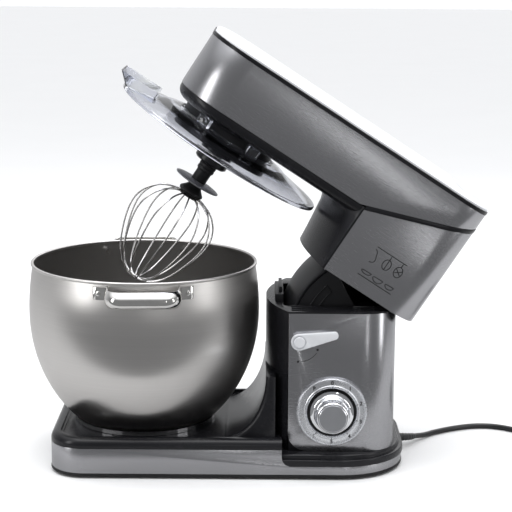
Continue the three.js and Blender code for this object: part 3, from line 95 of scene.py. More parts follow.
band = frame_box("base_band")
deck = frame_box("base_deck")
cover = frame_box("bottom_cover")
skirt = frame_box("column_plinth")
column = frame_box("column_frame")
wrap = frame_box("column_wrap")
bezel = frame_box("dial_bezel")
knob = frame_box("speed_knob")
bowl = frame_box("bowl_shell")
head = level_box("head_wrap")
housing = level_box("head_housing")
trim = level_box("head_trim")
top = level_box("top_cover")
panel = level_box("neck_panel")
slope = level_box("slope_trim")
guard = level_box("splash_guard")
hub = level_box("whisk_hub")
drip = level_box("drip_shield")
wires = level_box("whisk_wires")
planet_block = level_box("planet_carrier")
shaft = level_box("output_shaft")
DRIVE_X = guard.x1 - (guard.y1 - guard.y0) / 2
NECK_BOTTOM = panel.z0
TRAY_DEPTH = 15 * MM  # how far the head's black underside hangs below its steel
STRIP_HEIGHT = 5.5 * MM  # the black strip between the head's steel and the neck's
DIAL_FACE = 13.7 * MM  # the width of the dial's ring, from its rim to its well
DIAL_STEP = 36  # degrees from one of the dial's marks to the next


# ---- Sizes and colours that a user would change --------------------------------------------------
def length(name, description, default):
    return bpy.props.FloatProperty(name=name, description=description, default=default, unit="LENGTH",
                                   min=0.0, precision=5)


def colour(name, description, default):
    return bpy.props.FloatVectorProperty(name=name, description=description, default=default, subtype="COLOR",
                                         size=3, min=0.0, max=1.0)


class MixerSizes(bpy.types.PropertyGroup):
    skin: length("Steel sheet", "Thickness of the steel skins", 1.5 * MM)
    wall: length("Moulded wall", "Thickness of the plastic mouldings", 3 * MM)
    gap: length("Gap", "Gap between two pieces that meet", 0.4 * MM)
    soft_edge: length("Soft edge", "Radius left on a moulding's edges", 0.7 * MM)
    base_front: length("Base front corner", "Radius of the base's front corners", 45 * MM)
    base_rear: length("Base rear corner", "Radius of the base's rear corners", 82 * MM)
    head_front: length("Head front corner", "Radius of the head's front corners", 62 * MM)
    body_rear: length("Rear corner", "Radius of the head's and column's rear corners", 40 * MM)
    bow: length("Column bow", "How far the column's front bows out", 28 * MM)
    boss: length("Boss radius", "Radius of the drive boss under the head", 66.5 * MM)
    bowl_rim: length("Bowl rim", "Radius of the bowl at its rim", 143 * MM)
    bowl_foot: length("Bowl foot", "Radius of the bowl at its foot", 90 * MM)
    bowl_widest: length("Bowl belly height", "Height of the bowl's widest place above its foot", 139 * MM)
    bowl_wall: length("Bowl wall", "Thickness of the bowl's wall", 1.3 * MM)
    wire: length("Whisk wire", "Radius of a whisk wire", 1.1 * MM)
    tongue: length("Tongue radius", "Radius of the curved tongue about the hinge", 114 * MM)
    cord: length("Cord radius", "Radius of the mains cord", 3.5 * MM)
    bowl_turn: bpy.props.FloatProperty(name="Bowl turn", description="How far the bowl is turned in its lock",
                                       default=math.radians(3.5), subtype="ANGLE")


class MixerColours(bpy.types.PropertyGroup):
    steel: colour("Steel", "Brushed steel of the body", (0.40, 0.40, 0.415))
    bowl: colour("Bowl steel", "Polished steel of the bowl", (0.62, 0.605, 0.59))
    chrome: colour("Chrome", "Plated trim", (0.80, 0.81, 0.83))
    black: colour("Black", "Glossy black mouldings", (0.011, 0.011, 0.013))
    silver: colour("Silver", "Pale silver mouldings", (0.78, 0.79, 0.82))
    clear: colour("Clear", "Tint of the clear guard", (0.86, 0.88, 0.96))
    floor: colour("Floor", "Pale floor", (0.86, 0.86, 0.86))


def sizes():
    return bpy.context.scene.mixer_sizes


def colours():
    return bpy.context.scene.mixer_colours


# ---- Modelling tools ---------------------------------------------------------------------------
def clear_selection():
    active = bpy.context.view_layer.objects.active
    if active and active.mode != "OBJECT":
        bpy.ops.object.mode_set(mode="OBJECT")
    bpy.ops.object.select_all(action="DESELECT")


def work_on(piece):
    clear_selection()
    bpy.context.view_layer.objects.active = piece
    piece.select_set(True)


def edit_all(piece):
    work_on(piece)
    bpy.context.tool_settings.mesh_select_mode = (True, False, False)
    bpy.ops.object.mode_set(mode="EDIT")
    bpy.ops.mesh.select_all(action="SELECT")


def pick(piece, kind, test):
    """Edit mode with only the vertices, edges or faces selected whose places pass the test."""
    work_on(piece)
    mesh = piece.data
    for items in (mesh.vertices, mesh.edges, mesh.polygons):
        items.foreach_set("select", [False] * len(items))
    bpy.context.tool_settings.mesh_select_mode = (kind == "VERT", kind == "EDGE", kind == "FACE")
    if kind == "VERT":
        for v in mesh.vertices:
            v.select = test(v.co)
    elif kind == "EDGE":
        for e in mesh.edges:
            a, b = (mesh.vertices[i].co for i in e.vertices)
            e.select = test(a, b)
    else:
        for f in mesh.polygons:
            f.select = test(f.center, f.normal)
    bpy.ops.object.mode_set(mode="EDIT")


def done():
    bpy.ops.object.mode_set(mode="OBJECT")


def named(name):
    """The primitive just added, named and with its place moved into its mesh."""
    piece = bpy.context.object
    piece.name = piece.data.name = name
    bpy.ops.object.transform_apply(location=True, rotation=True, scale=True)
    return piece


def block(name, x0, x1, y0, y1, z0, z1):
    clear_selection()
    bpy.ops.mesh.primitive_cube_add(size=1, location=((x0 + x1) / 2, (y0 + y1) / 2, (z0 + z1) / 2),
                                    scale=(x1 - x0, y1 - y0, z1 - z0))
    return named(name)


def drum(name, radius, z0, z1, x=0.0, y=0.0, sides=128, turn=(0, 0, 0)):
    clear_selection()
    bpy.ops.mesh.primitive_cylinder_add(vertices=sides, radius=radius, depth=z1 - z0,
                                        location=(x, y, (z0 + z1) / 2), rotation=turn)
    return named(name)


def cross_drum(name, radius, y0, y1, x, z, sides=96):
    """A drum that lies across the mixer."""
    clear_selection()
    bpy.ops.mesh.primitive_cylinder_add(vertices=sides, radius=radius, depth=y1 - y0,
                                        location=(x, (y0 + y1) / 2, z), rotation=(math.pi / 2, 0, 0))
    return named(name)


def round_edges(piece, radius, test, segments=16):
    pick(piece, "EDGE", test)
    bpy.ops.mesh.bevel(offset=radius, offset_type="OFFSET", segments=segments, affect="EDGES")
    done()
    return piece


def upright(x0, x1):
    """Tests for upright edges between two places along X."""
    return lambda a, b: abs(a.x - b.x) + abs(a.y - b.y) < 1e-6 and x0 < a.x < x1


def low_corner(piece):
    """Tests for the edge across a block at its low front corner."""
    box = as_box([v.co for v in piece.data.vertices])
    return lambda a, b: max(a.x, b.x) < box.x0 + 1e-5 and max(a.z, b.z) < box.z0 + 1e-5


def around(z):
    """Tests for the edges that run round at one height."""
    return lambda a, b: abs(a.z - z) < 1e-6 and abs(b.z - z) < 1e-6


def carve(piece, tool, operation="DIFFERENCE"):
    work_on(piece)
    bpy.ops.object.modifier_add(type="BOOLEAN")
    modifier = piece.modifiers[-1]
    modifier.object, modifier.operation, modifier.solver = tool, operation, "EXACT"
    bpy.ops.object.modifier_apply(modifier=modifier.name)
    bpy.data.objects.remove(tool)
    return piece


def plan_block(name, plan, z0, z1, inset=0.0, corner_steps=24):
    """A block over a plan with round rear corners, and round front corners or one bowed front."""
    half = plan.half - inset
    x0, x1 = plan.front + inset, plan.rear - inset
    piece = block(name, x0, x1, -half, half, z0, z1)
    if plan.front_radius:
        round_edges(piece, plan.front_radius - inset, upright(x0 - 1e-4, x0 + 1e-4), corner_steps)
    round_edges(piece, plan.rear_radius - inset, upright(x1 - 1e-4, x1 + 1e-4), corner_steps)
    if plan.bow:
        sweep = (plan.half ** 2 + plan.bow ** 2) / (2 * plan.bow)
        tool = drum("bow", sweep - inset, z0 - 0.01, z1 + 0.01, plan.front + sweep, 0, 384)
        carve(piece, tool, "INTERSECT")
    return piece


def slice_off(piece, point, normal, fill=False):
    """Removes what lies on the side that the normal points to."""
    edit_all(piece)
    bpy.ops.mesh.bisect(plane_co=point, plane_no=normal, use_fill=fill, clear_outer=True, clear_inner=False)
    done()
    return piece


def open_ends(piece):
    """Takes away the flat top and bottom, which leaves the wall."""
    pick(piece, "FACE", lambda c, n: abs(n.z) > 0.99)
    bpy.ops.mesh.delete(type="FACE")
    done()
    return piece


def thicken(piece, thickness, offset=-1, even=True):
    """Gives a wall its thickness: inwards, or to both sides with an offset of 0."""
    work_on(piece)
    bpy.ops.object.modifier_add(type="SOLIDIFY")
    modifier = piece.modifiers[-1]
    modifier.thickness, modifier.offset, modifier.use_even_offset = thickness, offset, even
    bpy.ops.object.modifier_apply(modifier=modifier.name)
    return piece


def soften(piece, width, segments=2, angle=30.0):
    work_on(piece)
    bpy.ops.object.modifier_add(type="BEVEL")
    modifier = piece.modifiers[-1]
    modifier.width, modifier.segments = width, segments
    modifier.limit_method, modifier.angle_limit = "ANGLE", math.radians(angle)
    modifier.use_clamp_overlap = True
    bpy.ops.object.modifier_apply(modifier=modifier.name)
    return piece


def drawn(name, points):
    """A line of vertices drawn through points, by extruding one vertex from place to place."""
    clear_selection()
    bpy.ops.mesh.primitive_plane_add(size=MM, location=points[0])
    piece = named(name)
    edit_all(piece)
    bpy.ops.mesh.merge(type="CENTER")
    for a, b in zip(points, points[1:]):
        step = tuple(Vector(b) - Vector(a))
        bpy.ops.mesh.extrude_region_move(TRANSFORM_OT_translate={"value": step})
    done()
    return piece


def turned(name, profile, x=0.0, y=0.0, sides=96):
    """Spins a profile of (radius, height) pairs about an upright axis."""
    piece = drawn(name, [(x + r, y, z) for r, z in profile])
    edit_all(piece)
    bpy.ops.mesh.spin(steps=sides, angle=2 * math.pi, center=(x, y, 0), axis=(0, 0, 1))
    bpy.ops.mesh.select_all(action="SELECT")
    bpy.ops.mesh.remove_doubles(threshold=1e-6)
    bpy.ops.mesh.normals_make_consistent(inside=False)
    done()
    return piece


def closed(profile):
    return [*profile, profile[0]]


def cut_out(name, outline, y0, y1):
    """A plate whose outline lies in the X-Z plane, from y0 to y1."""
    piece = drawn(name, [(x, y0, z) for x, z in closed(outline)])
    edit_all(piece)
    bpy.ops.mesh.remove_doubles(threshold=1e-7)
    bpy.ops.mesh.edge_face_add()
    bpy.ops.mesh.extrude_region_move(TRANSFORM_OT_translate={"value": (0, y1 - y0, 0)})
    bpy.ops.mesh.select_all(action="SELECT")
    bpy.ops.mesh.normals_make_consistent(inside=False)
    done()
    return piece


def arc(cx, cz, radius, start, end, steps):
    """Points on an arc, with its angles in degrees."""
    angles = [math.radians(start + (end - start) * i / steps) for i in range(steps + 1)]
    return [(cx + radius * math.cos(a), cz + radius * math.sin(a)) for a in angles]


def tube(name, points, radius, sides=4, cyclic=False, tips=None):
    """A round wire through points, as a mesh. Tips gives a radius share for each point."""
    data = bpy.data.curves.new(name, "CURVE")
    data.dimensions, data.bevel_depth, data.bevel_resolution = "3D", radius, sides
    data.use_fill_caps = True
    spline = data.splines.new("NURBS")
    spline.points.add(len(points) - 1)
    for i, (target, place) in enumerate(zip(spline.points, points)):
        target.co = (*place, 1)
        target.radius = tips[i] if tips else 1
    spline.use_endpoint_u, spline.use_cyclic_u, spline.order_u, spline.resolution_u = True, cyclic, 4, 6
    piece = bpy.data.objects.new(name, data)
    bpy.context.scene.collection.objects.link(piece)
    work_on(piece)
    bpy.ops.object.convert(target="MESH")
    return bpy.context.object


def gathered(name, pieces):
    """Joins several pieces into one."""
    clear_selection()
    for piece in pieces:
        piece.select_set(True)
    bpy.context.view_layer.objects.active = pieces[0]
    bpy.ops.object.join()
    joined = bpy.context.object
    joined.name = joined.data.name = name
    return joined


def moved(piece, matrix):
    work_on(piece)
    piece.matrix_world = matrix
    bpy.ops.object.transform_apply(location=True, rotation=True, scale=True)
    return piece


def on_near_side(piece, x, y, z):
    """Lays a piece that was turned about the upright axis against the near side, standing out of it."""
    return moved(piece, Matrix.Translation((x, y, z)) @ Matrix.Rotation(math.pi / 2, 4, "X"))


def finish(piece, material, body, *nodes, smooth=32.0):
    """Smooths a finished piece, gives it its material and its body, and hides the nodes it stands for."""
    work_on(piece)
    bpy.ops.object.shade_smooth_by_angle(angle=math.radians(smooth))
    piece.data.materials.clear()
    piece.data.materials.append(material)
    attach(piece, body)
    if nodes:
        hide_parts(*nodes)
    return piece


def finish_head(piece, material, *nodes, body="head", smooth=32.0):
    return finish(moved(piece, TILT), material, body, *nodes, smooth=smooth)


# ---- Materials ---------------------------------------------------------------------------------
class Graph:
    """A small helper around one node tree."""

    def __init__(self, tree):
        self.tree = tree

    def node(self, kind, **values):
        made = self.tree.nodes.new(kind)
        for key, value in values.items():
            setattr(made, key, value)
        return made

    def link(self, source, target):
        self.tree.links.new(source, target)

    def math(self, operation, a, b):
        made = self.node("ShaderNodeMath", operation=operation)
        for socket, value in zip(made.inputs, (a, b)):
            self.feed(value, socket)
        return made.outputs[0]

    def feed(self, value, socket):
        if isinstance(value, bpy.types.NodeSocket):
            self.link(value, socket)
        else:
            socket.default_value = value

    def noise(self, vector, scale, detail=3.0, roughness=0.55):
        made = self.node("ShaderNodeTexNoise")
        self.link(vector, made.inputs["Vector"])
        self.feed(scale, made.inputs["Scale"])
        made.inputs["Detail"].default_value = detail
        made.inputs["Roughness"].default_value = roughness
        return made.outputs["Fac"]

    def spread(self, value, low, high, start=0.0, end=1.0):
        made = self.node("ShaderNodeMapRange")
        for key, fed in (("Value", value), ("From Min", start), ("From Max", end), ("To Min", low),
                         ("To Max", high)):
            self.feed(fed, made.inputs[key])
        return made.outputs["Result"]

    def tint(self, base, factor):
        """The base colour times a factor that changes over the surface."""
        made = self.node("ShaderNodeMix", data_type="RGBA", blend_type="MULTIPLY")
        made.inputs["Factor"].default_value = 1.0
        self.feed(base, made.inputs["A"])
        self.link(factor, made.inputs["B"])
        return made.outputs["Result"]


def new_group(name, inputs, outputs):
    tree = bpy.data.node_groups.new(name, "ShaderNodeTree")
    for label, kind, default in inputs:
        socket = tree.interface.new_socket(label, in_out="INPUT", socket_type=kind)
        if default is not None:
            socket.default_value = default
    for label, kind in outputs:
        tree.interface.new_socket(label, in_out="OUTPUT", socket_type=kind)
    graph = Graph(tree)
    return graph, graph.node("NodeGroupInput"), graph.node("NodeGroupOutput")


FLOAT, COLOR, VECTOR = "NodeSocketFloat", "NodeSocketColor", "NodeSocketVector"


def grain_group():
    """Long fine scratches: the vector's X runs along them."""
    graph, given, made = new_group(
        "Brushed Grain",
        [("Vector", VECTOR, None), ("Color", COLOR, (0.5, 0.5, 0.5, 1)), ("Roughness", FLOAT, 0.3),
         ("Lines", FLOAT, 1500.0), ("Depth", FLOAT, 0.2)],
        [("Color", COLOR), ("Roughness", FLOAT), ("Normal", VECTOR)],
    )
    stretch = graph.node("ShaderNodeVectorMath", operation="MULTIPLY")
    graph.link(given.outputs["Vector"], stretch.inputs[0])
    stretch.inputs[1].default_value = (0.02, 1, 1)
    lines = graph.noise(stretch.outputs[0], given.outputs["Lines"], 4.0, 0.7)
    broad = graph.noise(given.outputs["Vector"], 9.0, 2.0)
    hair = graph.math("MULTIPLY", graph.math("SUBTRACT", lines, 0.5), 0.16)
    cloud = graph.math("MULTIPLY", graph.math("SUBTRACT", broad, 0.5), 0.12)
    shade = graph.math("ADD", 1.0, graph.math("ADD", hair, cloud))
    graph.link(graph.tint(given.outputs["Color"], shade), made.inputs["Color"])
    uneven = graph.math("ADD", hair, cloud)
    graph.link(graph.math("ADD", given.outputs["Roughness"], graph.math("MULTIPLY", uneven, 0.6)),
               made.inputs["Roughness"])
    bump = graph.node("ShaderNodeBump")
    bump.inputs["Distance"].default_value = 0.00004
    graph.link(given.outputs["Depth"], bump.inputs["Strength"])
    graph.link(lines, bump.inputs["Height"])
    graph.link(bump.outputs["Normal"], made.inputs["Normal"])
    return graph.tree


def moulded_group():
    """The faint texture, smudges and uneven gloss of a moulded surface."""
    graph, given, made = new_group(
        "Moulded Skin",
        [("Color", COLOR, (0.5, 0.5, 0.5, 1)), ("Roughness", FLOAT, 0.3), ("Texture", FLOAT, 900.0),
         ("Depth", FLOAT, 0.1), ("Smudge", FLOAT, 0.1)],
        [("Color", COLOR), ("Roughness", FLOAT), ("Normal", VECTOR)],
    )
    place = graph.node("ShaderNodeTexCoord").outputs["Object"]
    fine = graph.noise(place, given.outputs["Texture"], 2.0)
    smear = graph.noise(place, 14.0, 4.0, 0.65)
    shade = graph.spread(smear, 0.86, 1.14, 0.3, 0.7)
    graph.link(graph.tint(given.outputs["Color"], shade), made.inputs["Color"])
    wander = graph.math("MULTIPLY", graph.math("SUBTRACT", smear, 0.5), given.outputs["Smudge"])
    speck = graph.math("MULTIPLY", graph.math("SUBTRACT", fine, 0.5), 0.05)
    graph.link(graph.math("ADD", given.outputs["Roughness"], graph.math("ADD", wander, speck)),
               made.inputs["Roughness"])
    bump = graph.node("ShaderNodeBump")
    bump.inputs["Distance"].default_value = 0.00008
    graph.link(given.outputs["Depth"], bump.inputs["Strength"])
    graph.link(fine, bump.inputs["Height"])
    graph.link(bump.outputs["Normal"], made.inputs["Normal"])
    return graph.tree


GROUPS = {}


def start_material(name, slot):
    material = bpy.data.materials.new(name)
    material.use_nodes = True
    material["slot"] = slot
    graph = Graph(material.node_tree)
    graph.tree.nodes.clear()
    shader = graph.node("ShaderNodeBsdfPrincipled")
    graph.link(shader.outputs["BSDF"], graph.node("ShaderNodeOutputMaterial").inputs["Surface"])
    return material, graph, shader


def use_group(graph, shader, key, values):
    group = graph.node("ShaderNodeGroup", node_tree=GROUPS[key])
    for label, value in values.items():
        graph.feed(value, group.inputs[label])
    graph.link(group.outputs["Color"], shader.inputs["Base Color"])
    graph.link(group.outputs["Roughness"], shader.inputs["Roughness"])
    graph.link(group.outputs["Normal"], shader.inputs["Normal"])
    return group


def rgba(value):
    return (*value, 1)


def along(graph, turn):
    """Object coordinates turned so that X runs along the grain."""
    place = graph.node("ShaderNodeTexCoord").outputs["Object"]
    mapping = graph.node("ShaderNodeMapping", vector_type="TEXTURE")
    mapping.inputs["Rotation"].default_value = turn
    graph.link(place, mapping.inputs["Vector"])
    return mapping.outputs["Vector"]


def round_grain(graph, centre, turn=(0, 0, 0)):
    """Coordinates whose lines run round an axis: the distance from it, and the height along it."""
    place = graph.node("ShaderNodeTexCoord").outputs["Object"]
    mapping = graph.node("ShaderNodeMapping", vector_type="TEXTURE")
    mapping.inputs["Location"].default_value = centre
    mapping.inputs["Rotation"].default_value = turn
    graph.link(place, mapping.inputs["Vector"])
    parts = graph.node("ShaderNodeSeparateXYZ")
    graph.link(mapping.outputs["Vector"], parts.inputs[0])
    square = graph.math("ADD", graph.math("MULTIPLY", parts.outputs["X"], parts.outputs["X"]),
                        graph.math("MULTIPLY", parts.outputs["Y"], parts.outputs["Y"]))
    joined = graph.node("ShaderNodeCombineXYZ")
    graph.link(graph.math("POWER", square, 0.5), joined.inputs["Y"])
    graph.link(parts.outputs["Z"], joined.inputs["Z"])
    angle = graph.math("ARCTAN2", parts.outputs["Y"], parts.outputs["X"])
    graph.link(graph.math("MULTIPLY", graph.math("SINE", angle, 0.0), 0.1), joined.inputs["X"])
    return joined.outputs[0]


def steel(name, slot, tint, roughness, lines, depth, vector=None, turn=(0, 0, 0), stretch=0.0):
    """Brushed steel. Stretch draws its reflections out along an upright axis, across a turned grain."""
    material, graph, shader = start_material(name, slot)
    shader.inputs["Metallic"].default_value = 1.0
    if stretch:
        shader.inputs["Anisotropic"].default_value = stretch
        tangent = graph.node("ShaderNodeTangent", direction_type="RADIAL", axis="Z")
        graph.link(tangent.outputs["Tangent"], shader.inputs["Tangent"])
    use_group(graph, shader, "grain", {
        "Vector": vector(graph) if vector else along(graph, turn), "Color": rgba(tint),
        "Roughness": roughness, "Lines": lines, "Depth": depth,
    })
    return material


def moulding(name, slot, tint, roughness, texture=900.0, depth=0.1, smudge=0.1, coat=0.0, metallic=0.0,
             specular=0.5):
    material, graph, shader = start_material(name, slot)
    shader.inputs["Specular IOR Level"].default_value = specular
    shader.inputs["Metallic"].default_value = metallic
    shader.inputs["Coat Weight"].default_value = coat
    shader.inputs["Coat Roughness"].default_value = 0.08
    use_group(graph, shader, "moulded", {"Color": rgba(tint), "Roughness": roughness, "Texture": texture,
                                         "Depth": depth, "Smudge": smudge})
    return material


def clear_moulding(name, slot, tint):
    material, graph, shader = start_material(name, slot)
    shader.inputs["Metallic"].default_value = 0.0
    shader.inputs["Transmission Weight"].default_value = 1.0
    shader.inputs["IOR"].default_value = 1.49
    use_group(graph, shader, "moulded", {"Color": rgba(tint), "Roughness": 0.035, "Texture": 420.0,
                                         "Depth": 0.03, "Smudge": 0.05})
    return material


def make_materials():
    GROUPS["grain"] = grain_group()
    GROUPS["moulded"] = moulded_group()
    c = colours()
    raised = (0, RAISED, 0)
    across = (0, 0, math.pi / 2)
    bowl_axis = (BOWL_X, 0, 0)
    dial_turn = (math.pi / 2, 0, 0)
    return {
        "steel": steel("Brushed steel", "brushed_steel", c.steel, 0.26, 3600, 0.10),
        "head_steel": steel("Brushed steel of the head", "brushed_steel", c.steel, 0.26, 3600, 0.10,
                            turn=raised),
        "upright_steel": steel("Brushed steel of the column", "brushed_steel", c.steel, 0.26, 3600, 0.10,
                               turn=across),
        "bowl": steel("Polished bowl steel", "bowl_steel", c.bowl, 0.30, 900, 0.05,
                      vector=lambda g: round_grain(g, bowl_axis), stretch=0.85),
        # The inside is brushed and rougher than the outside, which is real; its darker tint, 0.60 of the
        # bowl's colour, is painted shade in the bowl's hollow.
        "bowl_inside": steel("Brushed bowl steel with painted shade", "bowl_steel", [v * 0.60 for v in c.bowl], 0.42, 1300, 0.3,
                             vector=lambda g: round_grain(g, bowl_axis), stretch=0.5),
        "spun": steel("Spun steel", "spun_steel", (0.66, 0.67, 0.70), 0.24, 1500, 0.30,
                      vector=lambda g: round_grain(g, tuple(DIAL), dial_turn)),
        "wire": moulding("Bright wire", "wire_steel", (0.60, 0.59, 0.58), 0.16, 700, 0.03, 0.06,
                         metallic=1.0),
        "chrome": moulding("Chrome", "polished_chrome", c.chrome, 0.07, 500, 0.01, 0.05, metallic=1.0),
        "dial": moulding("Dial silver", "polished_chrome", (0.74, 0.75, 0.78), 0.27, 900, 0.05, 0.08,
                         metallic=0.9),
        "handle": moulding("Polished handle", "polished_chrome", (0.70, 0.69, 0.67), 0.11, 500, 0.02, 0.06,
                           metallic=1.0),
        "black": moulding("Glossy black", "black_gloss", c.black, 0.26, 1100, 0.05, 0.12, specular=0.26),
        "satin_black": moulding("Satin black", "black_gloss", (0.014, 0.014, 0.016), 0.42, 1400, 0.16, 0.10,
                                specular=0.3),
        "matte_black": moulding("Matte black", "black_matte", (0.010, 0.010, 0.011), 0.5, 1500, 0.3, 0.1,
                                specular=0.3),
        "silver": moulding("Pale silver", "silver_plastic", c.silver, 0.32, 1200, 0.06, 0.10, coat=0.2),
        "grey": moulding("Grey moulding", "grey_plastic", (0.14, 0.14, 0.15), 0.4, 1200, 0.12, 0.1),
        "clear": clear_moulding("Clear moulding", "clear_plastic", c.clear),
        "rubber": moulding("Soft rubber", "soft_rubber", (0.025, 0.025, 0.027), 0.72, 1600, 0.35, 0.08),
        "cord": moulding("Cord rubber", "cord_rubber", (0.012, 0.012, 0.013), 0.38, 1100, 0.12, 0.10),
        "ink": moulding("Printed black", "black_matte", (0.012, 0.012, 0.013), 0.5, 1300, 0.05, 0.1),
        "iron": moulding("Machined iron", "machine_iron", (0.26, 0.26, 0.28), 0.34, 800, 0.25, 0.16,
                         metallic=1.0),
        "alloy": moulding("Cast alloy", "cast_alloy", (0.50, 0.50, 0.51), 0.42, 700, 0.4, 0.16, metallic=1.0),
        "gear": moulding("Gear plastic", "gear_plastic", (0.70, 0.66, 0.55), 0.45, 900, 0.15, 0.1),
        "board": moulding("Circuit board", "board_green", (0.03, 0.13, 0.06), 0.4, 600, 0.2, 0.1),
    }


finishes = {}

# ---- The mains cord ----------------------------------------------------------------------------
# The route on the worktop, from the tip of the strain relief to the coil's outer turn.
CORD_ROUTE = [
    (0.2168, 0.0334, 0.0093), (0.2230, 0.0415, 0.0074), (0.2300, 0.0500, 0.0054), (0.2380, 0.0590, 0.0041),
    (0.2480, 0.0690, 0.0036), (0.2670, 0.0820, 0.0036), (0.2860, 0.0920, 0.0036), (0.3040, 0.0984, 0.0036),
    (0.3210, 0.1000, 0.0036), (0.3350, 0.0976, 0.0036), (0.3480, 0.0916, 0.0036), (0.3620, 0.0820, 0.0036),
    (0.3770, 0.0709, 0.0036),
]
LYING = 0.0036  # the height of the cord's middle where it lies on the worktop
# Degrees round the coil: where the loose cord joins it and where the plug's lead leaves it, and the
# stretches where it moves to the inner turn, climbs onto the turn below and moves back out.
COIL_START, COIL_END = 233, 1440
TURN_IN, CLIMB, TURN_OUT = (520, 590), (900, 960), (1300, 1370)


def smooth_step(value, start, end):
    t = min(max((value - start) / (end - start), 0), 1)
    return t * t * (3 - 2 * t)


def coil_point(degrees, centre, near, far, low, rise):
    """The coil's line: outer turn, inner turn, then up onto the inner turn and back out."""
    radius = far - (far - near) * (smooth_step(degrees, *TURN_IN) - smooth_step(degrees, *TURN_OUT))
    z = low + rise * smooth_step(degrees, *CLIMB)
    z -= (low - LYING) * (1 - smooth_step(degrees, COIL_START, COIL_START + 60))
    angle = math.radians(degrees)
    return (centre.x + radius * math.cos(angle), centre.y + radius * math.sin(angle), z)


class MIXER_OT_cord(bpy.types.Operator):
    """Make the mains cord with its strain relief, coil, tie and plug"""
    bl_idname = "mixer.cord"
    bl_label = "Mains Cord"

    def execute(self, context):
        s = sizes()
        ring = frame_box("cord_coil")
        plug_box = frame_box("mains_plug")
        tail = frame_box("cord_tail")
        centre = Vector(((ring.x0 + ring.x1) / 2, (ring.y0 + ring.y1) / 2, 0))
        outer = (ring.x1 - ring.x0) / 2
        far, near = outer - s.cord, outer - 3 * s.cord
        coil = [coil_point(d, centre, near, far, ring.z0 + s.cord, 2 * s.cord)
                for d in range(COIL_START, COIL_END + 1, 16)]
        coil.append(coil_point(COIL_END, centre, near, far, ring.z0 + s.cord, 2 * s.cord))
        start_y, end_y = coil[-1][1], tail.y1
        lead = [(coil[-1][0], start_y + (end_y - start_y) * t,
                 coil[-1][2] + ((tail.z0 + tail.z1) / 2 - coil[-1][2]) * smooth_step(t, 0, 1))
                for t in (0.2, 0.4, 0.6, 0.8, 1.0)]
        points = CORD_ROUTE + coil + lead
        data = bpy.data.curves.new("mains_cord", "CURVE")
        data.dimensions, data.bevel_depth, data.bevel_resolution = "3D", s.cord, 5
        data.use_fill_caps = True
        spline = data.splines.new("POLY")
        smooth = smoothed(points, 3)
        spline.points.add(len(smooth) - 1)
        for target, place in zip(spline.points, smooth):
            target.co = (*place, 1)
        cord = bpy.data.objects.new("mains_cord", data)
        context.scene.collection.objects.link(cord)
        data.materials.append(finishes["cord"])
        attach(cord, "mixer")
        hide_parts("power_cord", "cord_coil", "cord_tail")
        relief = self.strain_relief()
        plug = self.plug(plug_box)
        tie = self.tie()
        return {"FINISHED"}

    def strain_relief(self):
        gland = frame_box("cord_gland")
        root_radius = 6.2 * MM
        y, z = gland.y0 + root_radius, gland.z0 + 7.7 * MM
        path = [(gland.x0, y, z), (gland.x0 + 8 * MM, y, z), (gland.x0 + 16 * MM, y + 2 * MM, z - 0.5 * MM),
                (gland.x0 + 24 * MM, y + 8 * MM, z - 2 * MM), CORD_ROUTE[0]]
        smooth = smoothed(path, 6)
        count = len(smooth)
        taper, groove = 1.9 * MM / root_radius, 0.86
        ribs = [(1 - taper * i / (count - 1)) * (1 if i % 3 else groove) for i in range(count)]
        piece = tube("strain_relief", smooth, root_radius, 5, tips=ribs)
        return finish(piece, finishes["cord"], "mixer", "cord_gland", smooth=50)

    def plug(self, box):
        top_z = box.z0 + 21 * MM
        body = block("plug_body", box.x0, box.x1, box.y0, box.y1, box.z0, top_z)
        round_edges(body, 9 * MM, upright(box.x0 - 1, box.x1 + 1), 8)
        pick(body, "FACE", lambda c, n: n.z > 0.99)
        bpy.ops.mesh.inset(thickness=3 * MM, depth=0.9 * MM)
        bpy.ops.mesh.inset(thickness=1.2 * MM, depth=-0.9 * MM)
        done()
        soften(body, 1.6 * MM, 3)
        x = (box.x0 + box.x1) / 2
        pins = []
        for dx, dy, half_x, half_y in ((-11, 14, 3.2, 2), (11, 14, 3.2, 2), (0, 35, 2, 4)):
            cx, cy = x + dx * MM, box.y0 + dy * MM
            pin = block("pin", cx - half_x * MM, cx + half_x * MM, cy - half_y * MM, cy + half_y * MM,
                        top_z - 2 * MM, box.z1)
            pins.append(soften(pin, 0.6 * MM, 2))
        prongs = gathered("plug_pins", pins)
        finish(prongs, finishes["alloy"], "mixer")
        return finish(body, finishes["cord"], "mixer", "mains_plug")

    def tie(self):
        box = frame_box("cord_tie")
        half_x = (box.x1 - box.x0) / 2
        y = (box.y0 + box.y1) / 2
        piece = block("cord_tie_band", box.x0, box.x1, box.y0, box.y1, box.z0, box.z1)
        round_edges(piece, 3 * MM, lambda a, b: abs(a.y - b.y) + abs(a.z - b.z) < 1e-6, 6)
        pick(piece, "FACE", lambda c, n: abs(n.x) > 0.99)
        bpy.ops.mesh.delete(type="FACE")
        done()
        thicken(piece, 0.9 * MM)
        knot = block("tie_twist", box.x0 + 0.4 * half_x, box.x1 - 0.4 * half_x, y - 2 * MM, y + 2 * MM,
                     box.z1 - 1.2 * MM, box.z1 + 0.4 * MM)
        soften(knot, 0.5 * MM, 2)
        return finish(gathered("cord_tie_band", [piece, knot]), finishes["grey"], "mixer", "cord_tie")


def smoothed(points, parts):
    """More points on a smooth line through the given ones."""
    made = []
    vectors = [Vector(p) for p in points]
    for i in range(len(vectors) - 1):
        a, b = vectors[i], vectors[i + 1]
        before = vectors[i - 1] if i else a * 2 - b
        after = vectors[i + 2] if i + 2 < len(vectors) else b * 2 - a
        for k in range(parts):
            t = k / parts
            made.append(0.5 * (2 * a + (b - before) * t + (2 * before - 5 * a + 4 * b - after) * t ** 2
                               + (3 * a - before - 3 * b + after) * t ** 3))
    made.append(vectors[-1])
    return [tuple(p) for p in made]


